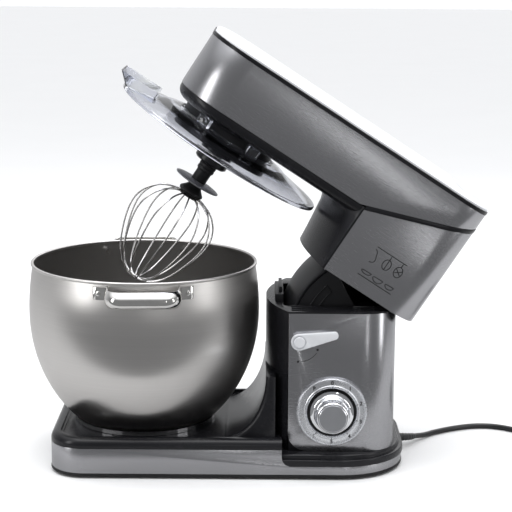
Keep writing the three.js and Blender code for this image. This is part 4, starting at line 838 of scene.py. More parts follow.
# ---- Base --------------------------------------------------------------------------------------
def base_plan():
    s = sizes()
    return Plan(band.x0, band.x1, band.y1, s.base_front, s.base_rear, 0)


def column_plan():
    s = sizes()
    return Plan(column.x0, column.x1, column.y1, 0, s.body_rear, s.bow)


def head_plan():
    s = sizes()
    return Plan(head.x0, head.x1, head.y1, s.head_front, s.body_rear, 0)


class MIXER_OT_base(bpy.types.Operator):
    """Make the base: its steel band, black deck with a ramp, bottom cover, feet and plinth"""
    bl_idname = "mixer.base"
    bl_label = "Base"

    def execute(self, context):
        self.steel_band()
        self.deck()
        self.bottom()
        self.plinth()
        return {"FINISHED"}

    def steel_band(self):
        s = sizes()
        piece = thicken(open_ends(plan_block("base_steel_band", base_plan(), band.z0, band.z1)), s.skin)
        notch = block("notch", deck.x1, band.x1 + 0.02, -0.2, 0.2, skirt.z0 - s.gap, band.z1 + 0.01)
        round_edges(notch, 12 * MM, low_corner(notch), 8)
        carve(piece, notch)
        soften(piece, 0.35 * MM, 2)
        finish(piece, finishes["steel"], "mixer", "base_band")

    def deck(self):
        s = sizes()
        low = band.z1 + s.gap
        rim_z = frame_box("bowl_lock_ring").z1 - s.gap
        piece = plan_block("base_deck_moulding", base_plan(), low, rim_z)
        round_edges(piece, 9 * MM, around(rim_z), 8)
        floor_z = rim_z - 5 * MM
        for inset, depth in ((12.5 * MM, 3.6 * MM), (15.5 * MM, 5 * MM)):
            carve(piece, plan_block("recess", base_plan(), rim_z - depth, rim_z + 0.01, inset))
        slice_off(piece, (deck.x1, 0, 0), (1, 0, 0), fill=True)
        ramp = self.ramp(floor_z - 2 * MM)
        carve(piece, ramp, "UNION")
        column_well = plan_block("well", column_plan(), low - 0.01, deck.z1 + 0.02, -s.gap)
        carve(piece, column_well)
        r = 70.6 * MM
        turret = turned("turret", [(0, floor_z - MM), (r, floor_z - MM), (r, rim_z - 0.8 * MM),
                                   (r - MM, rim_z), (0, rim_z)], BOWL_X, 0, 96)
        soften(piece, 0.6 * MM, 2, 40)
        finish(piece, finishes["black"], "mixer", "base_deck", smooth=38)
        finish(turret, finishes["black"], "mixer")
        mark = block("lock_mark", BOWL_X - 62 * MM, BOWL_X - 50 * MM, -104 * MM, -101.5 * MM,
                     floor_z - 0.2 * MM, floor_z + 0.5 * MM)
        soften(mark, 0.4 * MM, 2)
        finish(mark, finishes["silver"], "mixer")

    def ramp(self, low):
        """The wide ramp that sweeps up from the deck into the column."""
        run, half = 54 * MM, 94 * MM
        top_z = deck.z1
        foot = column.x0 - run
        floor_z = low + 2 * MM
        points = [(column.x0 + 12 * MM, low), (column.x0 + 12 * MM, top_z), (column.x0, top_z)]
        for i in range(1, 20):
            a = math.radians(90 * i / 20)
            points.append((foot + run * math.cos(a), floor_z + (top_z - floor_z) * (1 - math.sin(a))))
        points += [(foot, floor_z - 0.2 * MM), (foot, low)]
        piece = cut_out("ramp", points, -half, half)
        round_edges(piece, 7 * MM, lambda a, b: abs(abs(a.y) - half) < 1e-5 and abs(a.y - b.y) < 1e-5
                    and max(a.x, b.x) < column.x0 + MM and max(a.z, b.z) > floor_z + 0.4 * MM, 4)
        return piece

    def bottom(self):
        piece = plan_block("bottom_plate", base_plan(), cover.z0, cover.z1, -0.6 * MM)
        round_edges(piece, 1.6 * MM, around(cover.z0), 3)
        for i in range(4):
            foot = frame_box(f"rubber_foot_{i + 1}")
            x, y, r = (foot.x0 + foot.x1) / 2, (foot.y0 + foot.y1) / 2, (foot.x1 - foot.x0) / 2
            carve(piece, drum("recess", r + 0.4 * MM, 0, cover.z0 + 3 * MM, x, y, 48))
            rubber = turned(f"foot_{i + 1}", [
                (0, 0), (r - 3 * MM, 0), (r - 1.2 * MM, 0.15 * MM), (r, 1.1 * MM), (r - 0.8 * MM, foot.z1),
                (0, foot.z1)], x, y, 48)
            finish(rubber, finishes["rubber"], "mixer", f"rubber_foot_{i + 1}")
        soften(piece, 0.4 * MM, 2)
        finish(piece, finishes["matte_black"], "mixer", "bottom_cover")

    def plinth(self):
        s = sizes()
        front = deck.x1
        step_z = 26 * MM
        lower = plan_block("plinth_step", base_plan(), skirt.z0, step_z, skirt.y0 + band.y1)
        round_edges(lower, 1.8 * MM, around(step_z), 4)
        upper = plan_block("upper", base_plan(), step_z - MM, skirt.z1, 3.4 * MM)
        round_edges(upper, 3 * MM, around(skirt.z1), 5)
        for piece in (lower, upper):
            slice_off(piece, (front, 0, 0), (-1, 0, 0), fill=True)
        footing = plan_block("footing", column_plan(), skirt.z1 - s.wall, skirt.z1)
        end = block("end", front, front + 0.4, -0.2, 0.2, skirt.z0, 0.2)
        round_edges(end, 12 * MM, low_corner(end), 8)
        carve(lower, upper, "UNION")
        carve(lower, end, "INTERSECT")
        carve(lower, footing, "UNION")
        carve(lower, plan_block("hollow", base_plan(), 0, skirt.z1 - s.wall, 7 * MM))
        soften(lower, 0.5 * MM, 2, 40)
        finish(lower, finishes["black"], "mixer", "column_plinth", smooth=38)


# ---- Column ------------------------------------------------------------------------------------
class MIXER_OT_column(bpy.types.Operator):
    """Make the column: its black bowed front with an open top, and its steel skin"""
    bl_idname = "mixer.column"
    bl_label = "Column"

    def execute(self, context):
        self.moulding()
        self.steel_skin()
        self.mouth_insert()
        return {"FINISHED"}

    def moulding(self):
        s = sizes()
        plan = column_plan()
        shell = plan_block("column_moulding", plan, column.z0, column.z1)
        rear = block("rear", wrap.x0 - s.gap, column.x1 + 0.02, -0.2, 0.2, column.z0 - 0.01, wrap.z1 + s.gap)
        core = plan_block("core", plan, column.z0 - 0.02, wrap.z1 + 0.02, s.skin + s.gap)
        carve(rear, core)
        carve(shell, rear)
        carve(shell, plan_block("room", plan, column.z0 - 0.01, column.z1 - s.wall, s.skin + s.gap + s.wall))
        mouth = block("mouth", HINGE.x - s.tongue + 2.2 * MM, column.x1 - 5 * MM, -67 * MM, 67 * MM,
                      column.z1 - 0.01, column.z1 + 0.01)
        round_edges(mouth, 6 * MM, upright(-1, 1), 6)
        carve(shell, mouth)
        soften(shell, s.soft_edge, 3, 40)
        finish(shell, finishes["black"], "mixer", "column_frame", smooth=38)

    def steel_skin(self):
        s = sizes()
        piece = open_ends(plan_block("column_steel_skin", column_plan(), wrap.z0, wrap.z1))
        slice_off(piece, (wrap.x0, 0, 0), (-1, 0, 0))
        thicken(piece, s.skin)
        radius = 24 * MM
        corner = cut_out("corner", [(wrap.x0 - MM, wrap.z0 - MM), (wrap.x0 + radius, wrap.z0 - MM),
                                    *arc(wrap.x0 + radius, wrap.z0 + radius, radius, 270, 180, 16),
                                    (wrap.x0 - MM, wrap.z0 + radius)], wrap.y0 - 0.01, wrap.y1 + 0.01)
        carve(piece, corner)
        well = (bezel.x1 - bezel.x0) / 2 - DIAL_FACE
        carve(piece, cross_drum("dial_hole", well, wrap.y0 - 0.01, wrap.y0 + 0.02, DIAL.x, DIAL.z))
        carve(piece, cross_drum("lever_hole", 5.6 * MM, wrap.y0 - 0.01, wrap.y0 + 0.02, LEVER.x, LEVER.z, 48))
        soften(piece, 0.35 * MM, 2)
        finish(piece, finishes["steel"], "mixer", "column_wrap")

    def mouth_insert(self):
        """The stepped block in the mouth's front and the three ribs beside the tongue."""
        s = sizes()
        front = HINGE.x - s.tongue
        z = column.z1
        step = block("mouth_step", front - 8 * MM, front + 3 * MM, -40 * MM, 40 * MM, z - 2 * MM, z + 9 * MM)
        upper = block("mouth_step_upper", front - 3 * MM, front + 1.5 * MM, -28 * MM, 28 * MM,
                      z + 7 * MM, z + 16 * MM)
        for piece in (step, upper):
            soften(piece, 1.2 * MM, 3)
        ribs = []
        for i in range(3):
            y = wrap.y0 + (9 + 6 * i) * MM
            rib = block("rib", front + 12 * MM, front + 38 * MM, y, y + 2.4 * MM,
                        z - MM, z + (1.4 + 0.9 * i) * MM)
            ribs.append(soften(rib, 0.6 * MM, 2))
        finish(gathered("mouth_step", [step, upper]), finishes["satin_black"], "mixer")
        finish(gathered("mouth_ribs", ribs), finishes["black"], "mixer")


# ---- Controls ----------------------------------------------------------------------------------
class MIXER_OT_controls(bpy.types.Operator):
    """Make the speed dial with its marks, the knob and the head lock lever"""
    bl_idname = "mixer.controls"
    bl_label = "Controls"

    def execute(self, context):
        self.dial()
        self.dial_marks()
        self.knob()
        self.lever()
        return {"FINISHED"}

    def dial(self):
        r, t = (bezel.x1 - bezel.x0) / 2, bezel.y1 - bezel.y0
        well = r - DIAL_FACE
        ring = turned("dial_ring", closed([
            (well, 0), (r - MM, 0), (r, 1.1 * MM), (r - 0.5 * MM, 2.4 * MM), (r - 1.4 * MM, t - 0.6 * MM),
            (r - 2.6 * MM, t - 0.1 * MM), (r - 3.4 * MM, t - 0.9 * MM), (well + 4.2 * MM, t - 0.9 * MM),
            (well + 3.4 * MM, t - 0.1 * MM), (well + 1.6 * MM, t), (well + 0.6 * MM, t - 0.9 * MM),
            (well, t - 2.4 * MM)]), sides=144)
        soften(ring, 0.25 * MM, 2)
        finish(on_near_side(ring, DIAL.x, bezel.y1, DIAL.z), finishes["dial"], "mixer", "dial_bezel")
        rim = well - 0.4 * MM
        dish = turned("dial_dish", closed([
            (4 * MM, -1.5 * MM), (rim - 3.4 * MM, -1.5 * MM), (rim - 3.4 * MM, 0.4 * MM), (rim, 0.4 * MM),
            (rim, 2.6 * MM), (rim - 2 * MM, 2.6 * MM), (rim - 2.6 * MM, 0.8 * MM), (4 * MM, 0.8 * MM)]),
            sides=96)
        soften(dish, 0.2 * MM, 2)
        finish(on_near_side(dish, DIAL.x, bezel.y1, DIAL.z), finishes["matte_black"], "mixer", "dial_well")

    def dial_marks(self):
        """Numbers at equal steps round the dial, with a short line at each."""
        face = bezel.y0 + 0.9 * MM
        marks = []
        for i, label in enumerate("P0123456"):
            angle = math.radians(DIAL_STEP * (i - 1))
            out = Vector((math.sin(angle), 0, math.cos(angle)))
            clear_selection()
            bpy.ops.object.text_add(rotation=(math.pi / 2, 0, 0))
            text = bpy.context.object
            text.data.body, text.data.size, text.data.extrude = label, 6.6 * MM, 0.12 * MM
            text.data.offset = 0.22 * MM
            text.data.align_x, text.data.align_y = "CENTER", "CENTER"
            bpy.ops.object.convert(target="MESH")
            number = bpy.context.object
            at = Vector((DIAL.x, face - 0.1 * MM, DIAL.z)) + out * 38 * MM
            number.location = at
            bpy.ops.object.transform_apply(location=True, rotation=True, scale=True)
            marks.append(number)
            line = block("line", -0.4 * MM, 0.4 * MM, -0.25 * MM, 0, 32 * MM, 34.2 * MM)
            turn = Matrix.Rotation(angle, 4, "Y")
            marks.append(moved(line, Matrix.Translation((DIAL.x, bezel.y0 + 0.15 * MM, DIAL.z)) @ turn))
        finish(gathered("dial_marks", marks), finishes["ink"], "mixer")

    def knob(self):
        r, tall = 20.8 * MM, bezel.y0 - knob.y0
        skirt_r = (knob.x1 - knob.x0) / 2
        out = bezel.y1 - bezel.y0
        face = knob.y0
        body = turned("speed_knob_body", [
            (0, -12 * MM), (3.2 * MM, -12 * MM), (3.2 * MM, 1.6 * MM), (skirt_r - 1.5 * MM, 1.6 * MM),
            (skirt_r, 2.6 * MM), (skirt_r, 4.2 * MM), (skirt_r - 0.8 * MM, out + 0.6 * MM),
            (skirt_r - 2 * MM, out + MM), (r + 3.2 * MM, out + 1.6 * MM), (r + 1.4 * MM, out + 3 * MM),
            (r + 0.5 * MM, out + 5 * MM), (r, out + 9 * MM), (r - 0.6 * MM, out + tall - 1.8 * MM),
            (r - 1.4 * MM, out + tall - 0.6 * MM), (r - 2.4 * MM, out + tall - 0.1 * MM),
            (r - 3.4 * MM, out + tall - 0.2 * MM), (r - 3.4 * MM, out + tall - 1.4 * MM),
            (0, out + tall - 1.4 * MM)], sides=128)
        finish(on_near_side(body, DIAL.x, bezel.y1, DIAL.z), finishes["chrome"], "speed_knob", "speed_knob")
        disc = turned("spun_face", [(0, -1.0 * MM), (r - 3.6 * MM, -1.0 * MM), (r - 3.6 * MM, 0.1 * MM),
                                    (r - 4.2 * MM, 0.5 * MM), (r * 0.5, 0.3 * MM), (0, 0.15 * MM)], sides=128)
        finish(on_near_side(disc, DIAL.x, face, DIAL.z), finishes["spun"], "speed_knob", "knob_face")

    def lever(self):
        near = wrap.y0
        arm_box = frame_box("lock_lever")
        near_face, out = near - 0.4 * MM, arm_box.y0
        hub_r, end_r, reach, tilt = 10.5 * MM, 5 * MM, 44 * MM, 11
        points = arc(0, 0, hub_r, 76, 284, 28) + arc(reach, 0, end_r, -90, 90, 16)
        c, si = math.cos(math.radians(tilt)), math.sin(math.radians(tilt))
        placed = [(LEVER.x + x * c - z * si, LEVER.z + x * si + z * c) for x, z in points]
        arm = cut_out("lever_arm", placed, near_face, out)
        soften(arm, 1.1 * MM, 3)
        groove = turned("groove", closed([(hub_r - 3.2 * MM, 4.2 * MM), (hub_r - 2.2 * MM, 4.2 * MM),
                                          (hub_r - 2.2 * MM, 8 * MM), (hub_r - 3.2 * MM, 8 * MM)]), sides=64)
        carve(arm, on_near_side(groove, LEVER.x, near_face, LEVER.z))
        rod = cross_drum("lever_rod", 4 * MM, near_face - MM, arm_box.y1, LEVER.x, LEVER.z, 48)
        soften(rod, 0.4 * MM, 2)
        finish(arm, finishes["silver"], "lock_lever", "lock_lever")
        finish(rod, finishes["iron"], "lock_lever")
        cap = turned("lever_button", [(0, 4 * MM), (hub_r - 3.5 * MM, 4 * MM), (hub_r - 3.5 * MM, 5.9 * MM),
                                      (hub_r - 4.3 * MM, 6.5 * MM), (0, 6.8 * MM)], sides=64)
        finish(on_near_side(cap, LEVER.x, near_face, LEVER.z), finishes["silver"], "lock_lever", "lever_cap")
        swing = [(x, near - 0.12 * MM, z) for x, z in arc(LEVER.x, LEVER.z, 26 * MM, -84, -34, 18)]
        marks = [tube("swing_mark", swing, 0.35 * MM, 2)]
        for angle, r in ((-93, 26 * MM), (-25, 25 * MM)):
            (x, z), = arc(LEVER.x, LEVER.z, r, angle, angle, 1)[:1]
            marks.append(cross_drum("dot", 1.5 * MM, near - 0.3 * MM, near + 0.1 * MM, x, z, 24))
        finish(gathered("lever_marks", marks), finishes["ink"], "mixer")


# ---- Head --------------------------------------------------------------------------------------
SLOPE_START = wrap.x0 - 6 * MM


def slope_plane(lift):
    """A point and the upward normal of the line where the neck's steel ends, raised by lift."""
    angle = math.atan2(50 * MM, head.x1 - SLOPE_START)
    point = (SLOPE_START, 0, head.z0 + lift)
    return point, (-math.sin(angle), 0, math.cos(angle))


class MIXER_OT_head(bpy.types.Operator):
    """Make the head: its steel skin, black underside with the drive boss, trims and silver top"""
    bl_idname = "mixer.head"
    bl_label = "Head"

    def execute(self, context):
        s = sizes()
        skin = open_ends(plan_block("head_steel_skin", head_plan(), head.z0, head.z1))
        point, up = slope_plane(s.gap)
        slice_off(skin, point, [-v for v in up])
        soften(thicken(skin, s.skin), 0.3 * MM, 2)
        finish_head(skin, finishes["head_steel"], "head_wrap")
        self.underside()
        self.edge_trims()
        self.top()
        return {"FINISHED"}

    def underside(self):
        s = sizes()
        low = head.z0 - TRAY_DEPTH
        tray = plan_block("head_underside", head_plan(), low, head.z0 - s.gap, 0.6 * MM)
        round_edges(tray, 13 * MM, around(low), 10)
        slice_off(tray, (SLOPE_START + 4 * MM, 0, 0), (1, 0, 0), fill=True)
        room = plan_block("room", head_plan(), low + s.wall, head.z0 + 0.01, 16 * MM)
        carve(tray, room)
        r = s.boss
        boss = turned("drive_boss", closed([
            (r - 6 * MM, housing.z0), (r - 0.8 * MM, housing.z0), (r, housing.z0 + 0.8 * MM),
            (r, housing.z0 + 14.4 * MM), (r - 0.6 * MM, housing.z0 + 15.2 * MM),
            (r - 2.4 * MM, housing.z0 + 15.6 * MM), (r - 2.4 * MM, low - 9 * MM),
            (r - 1.6 * MM, low - 5.6 * MM), (r + 1.6 * MM, low - 2.2 * MM), (r + 9 * MM, low + 0.6 * MM),
            (r + 9 * MM, low + 2 * MM), (r - 6 * MM, low + 2 * MM)]), DRIVE_X, 0, 144)
        soften(tray, s.soft_edge, 2, 40)
        finish_head(tray, finishes["black"], "head_housing", smooth=38)
        finish_head(boss, finishes["satin_black"])
        ledge = turned("boss_ledge", closed([
            (r - 6 * MM, housing.z0 + 8.5 * MM), (r - 20 * MM, housing.z0 + 8.5 * MM),
            (r - 20 * MM, housing.z0 + 6.5 * MM), (r - 5 * MM, housing.z0 + 6.5 * MM)]), DRIVE_X, 0, 96)
        finish_head(ledge, finishes["matte_black"])

    def edge_trims(self):
        edge = open_ends(plan_block("head_edge_trim", head_plan(), trim.z0, trim.z1, -0.7 * MM))
        thicken(edge, 4.4 * MM)
        groove = open_ends(plan_block("groove", head_plan(), trim.z0 + 1.5 * MM, trim.z0 + 2.1 * MM,
                                      -1.4 * MM))
        thicken(groove, 1.1 * MM)
        carve(edge, groove)
        soften(edge, 0.4 * MM, 2)
        finish_head(edge, finishes["black"], "head_trim")
        strip = open_ends(plan_block("slope_band", head_plan(), slope.z0 - 0.02, trim.z0, -0.6 * MM))
        for lift, side in ((0.0, 1), (-STRIP_HEIGHT, -1)):
            point, up = slope_plane(lift)
            slice_off(strip, point, [side * v for v in up])
        slice_off(strip, (slope.x0, 0, 0), (-1, 0, 0))
        soften(thicken(strip, 2.5 * MM), 0.5 * MM, 2)
        finish_head(strip, finishes["black"], "slope_trim")

    def top(self):
        piece = plan_block("head_top", head_plan(), top.z1 - 5.5 * MM, top.z1 - 3.4 * MM, MM)
        pick(piece, "FACE", lambda c, n: n.z > 0.99)
        for thickness, depth in ((1.2, 0.8), (2.6, 0.9), (7, 0.9), (14, 0.5), (16, 0.3)):
            bpy.ops.mesh.inset(thickness=thickness * MM, depth=depth * MM)
        done()
        finish_head(piece, finishes["silver"], "top_cover", smooth=50)


class MIXER_OT_neck(bpy.types.Operator):
    """Make the neck: its black bowed front, the tongue in the column's mouth, and its steel sides"""
    bl_idname = "mixer.neck"
    bl_label = "Neck"

    def execute(self, context):
        self.moulding()
        self.steel_sides()
        self.tongue()
        self.pictograms()
        return {"FINISHED"}

    def moulding(self):
        s = sizes()
        under = head.z0 - TRAY_DEPTH
        front = column.x0 - 4.5 * MM
        side_x = wrap.x0 - 2 * MM
        plan = Plan(front, head.x1, head.y1, 0, s.body_rear, side_x - front)
        piece = plan_block("neck_moulding", plan, NECK_BOTTOM, head.z0 - s.gap)
        levels = [(NECK_BOTTOM + 20 * MM, -2.0), (under - 40 * MM, -4.0), (under - 18 * MM, -7.0),
                  (under - 12 * MM, -9.0), (under - 6 * MM, -13.5), (under - 2 * MM, -19.0), (under, -23.5)]
        for z, _ in levels:
            edit_all(piece)
            bpy.ops.mesh.bisect(plane_co=(0, 0, z), plane_no=(0, 0, 1))
            done()
        levels.append((head.z0 - s.gap, -23.5))
        for z, lean in levels:
            pick(piece, "VERT", lambda co, z=z: abs(co.z - z) < 1e-5 and co.x < side_x - 1e-4)
            stretch = (side_x - front - lean * MM) / (side_x - front)
            bpy.ops.transform.resize(value=(stretch, 1, 1), center_override=(side_x, 0, z))
            done()
        cheeks = block("cheeks", wrap.x0 + s.gap - 0.4 * MM, head.x1 + 0.02, -0.2, 0.2,
                       NECK_BOTTOM - 0.01, trim.z0)
        longer = plan._replace(front=front - 0.03, bow=side_x - front + 0.03)
        core = plan_block("core", longer, NECK_BOTTOM - 0.02, trim.z0 + 0.02, s.skin + s.gap)
        carve(cheeks, core)
        carve(piece, cheeks)
        room = plan_block("room", plan, NECK_BOTTOM + s.wall, head.z0 + 0.01, 6 * MM)
        carve(piece, room)
        rear = block("rear_floor", HINGE.x - 8 * MM, head.x1 - 8 * MM, -0.09, 0.09,
                     NECK_BOTTOM - 0.01, NECK_BOTTOM + 0.01)
        carve(piece, rear)
        soften(piece, s.soft_edge, 2, 40)
        finish_head(piece, finishes["black"], "neck_frame", smooth=38)

    def steel_sides(self):
        s = sizes()
        piece = open_ends(plan_block("neck_steel_sides", head_plan(), panel.z0, trim.z0))
        slice_off(piece, (panel.x0, 0, 0), (-1, 0, 0))
        point, up = slope_plane(-STRIP_HEIGHT - s.gap)
        slice_off(piece, point, up)
        soften(thicken(piece, s.skin), 0.35 * MM, 2)
        finish_head(piece, finishes["head_steel"], "neck_panel")

    def tongue(self):
        """The curved tongue about the hinge, its two cheeks and the slot's rim on each."""
        s = sizes()
        low, high = -46, math.degrees(math.asin((NECK_BOTTOM + 2 * MM - HINGE.z) / (s.tongue - 12 * MM)))
        half = 62 * MM
        profile = [(HINGE.x - (s.tongue - 12 * MM * (y / 10) ** 2), half * y / 10, HINGE.z)
                   for y in range(-10, 11)]
        blade = self.swung("tongue_blade", profile, low, high, 40)
        thicken(blade, 3.4 * MM)
        soften(blade, 0.8 * MM, 2, 40)
        finish_head(blade, finishes["satin_black"], smooth=40)
        cheeks = []
        for side in (-1, 1):
            y = side * half
            ray = [(HINGE.x - r * MM, y, HINGE.z) for r in (2, 12, 40, 70, 101.5)]
            cheek = self.swung("cheek", ray, low, high, 40)
            thicken(cheek, 4 * MM, offset=0, even=False)
            moved(cheek, Matrix.Translation((0, -side * 2 * MM, 0)))
            eye = cross_drum("eye", 17 * MM, y - 2.6 * MM, y + 2.6 * MM, HINGE.x, HINGE.z)
            cheeks += [cheek, soften(eye, 0.6 * MM, 2)]
            rim = [(x, y + side * 0.6 * MM, z) for x, z in self.slot_line(low, high)]
            cheeks.append(tube("slot_rim", rim, 0.9 * MM, 3))
        finish_head(gathered("tongue_cheeks", cheeks), finishes["satin_black"], smooth=40)

    def slot_line(self, low, high):
        """The outline of the arc-shaped slot beside the blade."""
        ends = (180 - high + 12, 180 - low - 12)
        outer = arc(HINGE.x, HINGE.z, 88 * MM, ends[0], ends[1], 20)
        inner = arc(HINGE.x, HINGE.z, 78 * MM, ends[1], ends[0], 20)
        return outer + inner + outer[:1]

    def swung(self, name, line, low, high, steps):
        """Spins a line about the hinge between two angles below and above the level."""
        piece = drawn(name, line)
        edit_all(piece)
        bpy.ops.mesh.spin(steps=steps, angle=math.radians(high - low), center=tuple(HINGE), axis=(0, 1, 0))
        bpy.ops.mesh.select_all(action="SELECT")
        bpy.ops.mesh.remove_doubles(threshold=1e-7)
        bpy.ops.mesh.normals_make_consistent(inside=False)
        done()
        placed = as_box([v.co for v in piece.data.vertices])
        upward = placed.z1 > HINGE.z + 20 * MM
        turn = math.radians(low) if upward else math.radians(high)
        matrix = Matrix.Translation(HINGE) @ Matrix.Rotation(turn, 4, "Y") @ Matrix.Translation(-HINGE)
        return moved(piece, matrix)

    def pictograms(self):
        """Plain outlines of a hook, a whisk and a beater, and a bowl, printed on the near side."""
        y = panel.y0 - 0.12 * MM
        x, z = panel.x0 + 62 * MM, panel.z0 + 46 * MM
        lines = [
            [(x - 22 * MM, y, z + 9 * MM), (x - 18 * MM, y, z + 9 * MM), (x - 18 * MM, y, z + 3 * MM),
             (x - 14 * MM, y, z - 2 * MM), (x - 16 * MM, y, z - 8 * MM), (x - 21 * MM, y, z - 8 * MM)],
        ]
        for cx in (x, x + 17 * MM):
            lines.append([(cx + 5.4 * MM * math.cos(a), y, z + 7 * MM * math.sin(a))
                          for a in [2 * math.pi * i / 24 for i in range(25)]])
            lines.append([(cx, y, z + 7 * MM), (cx, y, z + 12 * MM)])
        lines.append([(x, y, z - 7 * MM), (x, y, z + 7 * MM)])
        lines.append([(x + 13 * MM, y, z + 3 * MM), (x + 21 * MM, y, z - 3 * MM)])
        lines.append([(x + 13 * MM, y, z - 3 * MM), (x + 21 * MM, y, z + 3 * MM)])
        lines.append([(x - 22 * MM, y, z + 13 * MM), (x + 22 * MM, y, z + 13 * MM)])
        for cx, wide, tall in ((x - 16 * MM, 7 * MM, 4 * MM), (x + 1 * MM, 7 * MM, 6 * MM),
                               (x + 18 * MM, 6 * MM, 5 * MM)):
            base = z - 20 * MM
            lines.append([(cx + wide * math.cos(a), y, base - tall * math.sin(a))
                          for a in [math.pi * i / 12 for i in range(13)]]
                         + [(cx + wide, y, base)])
        lines.append([(x - 24 * MM, y, z - 28 * MM), (x + 25 * MM, y, z - 28 * MM)])
        marks = [tube("mark", line, 0.6 * MM, 2) for line in lines]
        finish_head(gathered("neck_pictograms", marks), finishes["ink"])


# ---- Drive, guard and whisk --------------------------------------------------------------------
class MIXER_OT_drive(bpy.types.Operator):
    """Make the planet block and the output shaft, and finish the inner nodes"""
    bl_idname = "mixer.drive"
    bl_label = "Drive"

    def execute(self, context):
        self.carrier()
        self.output()
        inner = {"iron": ("hinge_pin", "motor_can", "motor_rotor", "motor_pulley", "ring_gear",
                          "planet_gear"),
                 "alloy": ("chassis_plate", "large_pulley", "drive_pinion"), "gear": ("main_gear",),
                 "rubber": ("drive_belt",), "board": ("control_board",),
                 "matte_black": ("cooling_fan", "speed_switch"), "steel": ("bowl_lock_ring",)}
        for key, nodes in inner.items():
            for node in nodes:
                for slot in frame["nodes"][node].material_slots:
                    slot.material = finishes[key]
        return {"FINISHED"}

    def carrier(self):
        s = sizes()
        disc_low = housing.z0 + 1.5 * MM
        low, r = planet_block.z0, 22 * MM
        disc = turned("carrier_disc", [
            (0, disc_low), (s.boss - 9 * MM, disc_low), (s.boss - 7.6 * MM, disc_low + MM),
            (s.boss - 7.6 * MM, disc_low + 5 * MM), (12 * MM, disc_low + 5 * MM),
            (12 * MM, disc_low + 30 * MM), (7 * MM, disc_low + 30 * MM), (7 * MM, planet_block.z1),
            (0, planet_block.z1)], DRIVE_X, 0, 96)
        bore = (shaft.y1 - shaft.y0) / 2 + 0.6 * MM
        tower = turned("planet_block", closed([
            (bore, low), (r - 2.4 * MM, low), (r, low + 2.2 * MM), (r, disc_low - 1.2 * MM),
            (r + 1.8 * MM, disc_low + 0.4 * MM), (r + 1.8 * MM, disc_low + 2 * MM),
            (bore, disc_low + 2 * MM)]), DRIVE_X, PLANET_Y, 96)
        finish_head(soften(disc, 0.5 * MM, 2), finishes["satin_black"], "planet_carrier", body="carrier")
        finish_head(soften(tower, 0.4 * MM, 2), finishes["black"], body="carrier")

    def output(self):
        r = (shaft.y1 - shaft.y0) / 2
        rod = turned("drive_shaft", [
            (0, shaft.z0), (r - 0.8 * MM, shaft.z0), (r, shaft.z0 + 0.8 * MM), (r, housing.z0 - 17.2 * MM),
            (r - 0.6 * MM, housing.z0 - 16.8 * MM), (r - 0.6 * MM, housing.z0 - 16 * MM),
            (r, housing.z0 - 15.6 * MM), (r, shaft.z1), (0, shaft.z1)], DRIVE_X, PLANET_Y, 64)
        pin = drum("pin", 2 * MM, -8.6 * MM, 8.6 * MM, 0, 0, 24, turn=(0, math.pi / 2, 0))
        moved(pin, Matrix.Translation((DRIVE_X, PLANET_Y, housing.z0 - 30 * MM)))
        finish_head(gathered("drive_shaft", [rod, pin]), finishes["chrome"], "output_shaft", body="output")


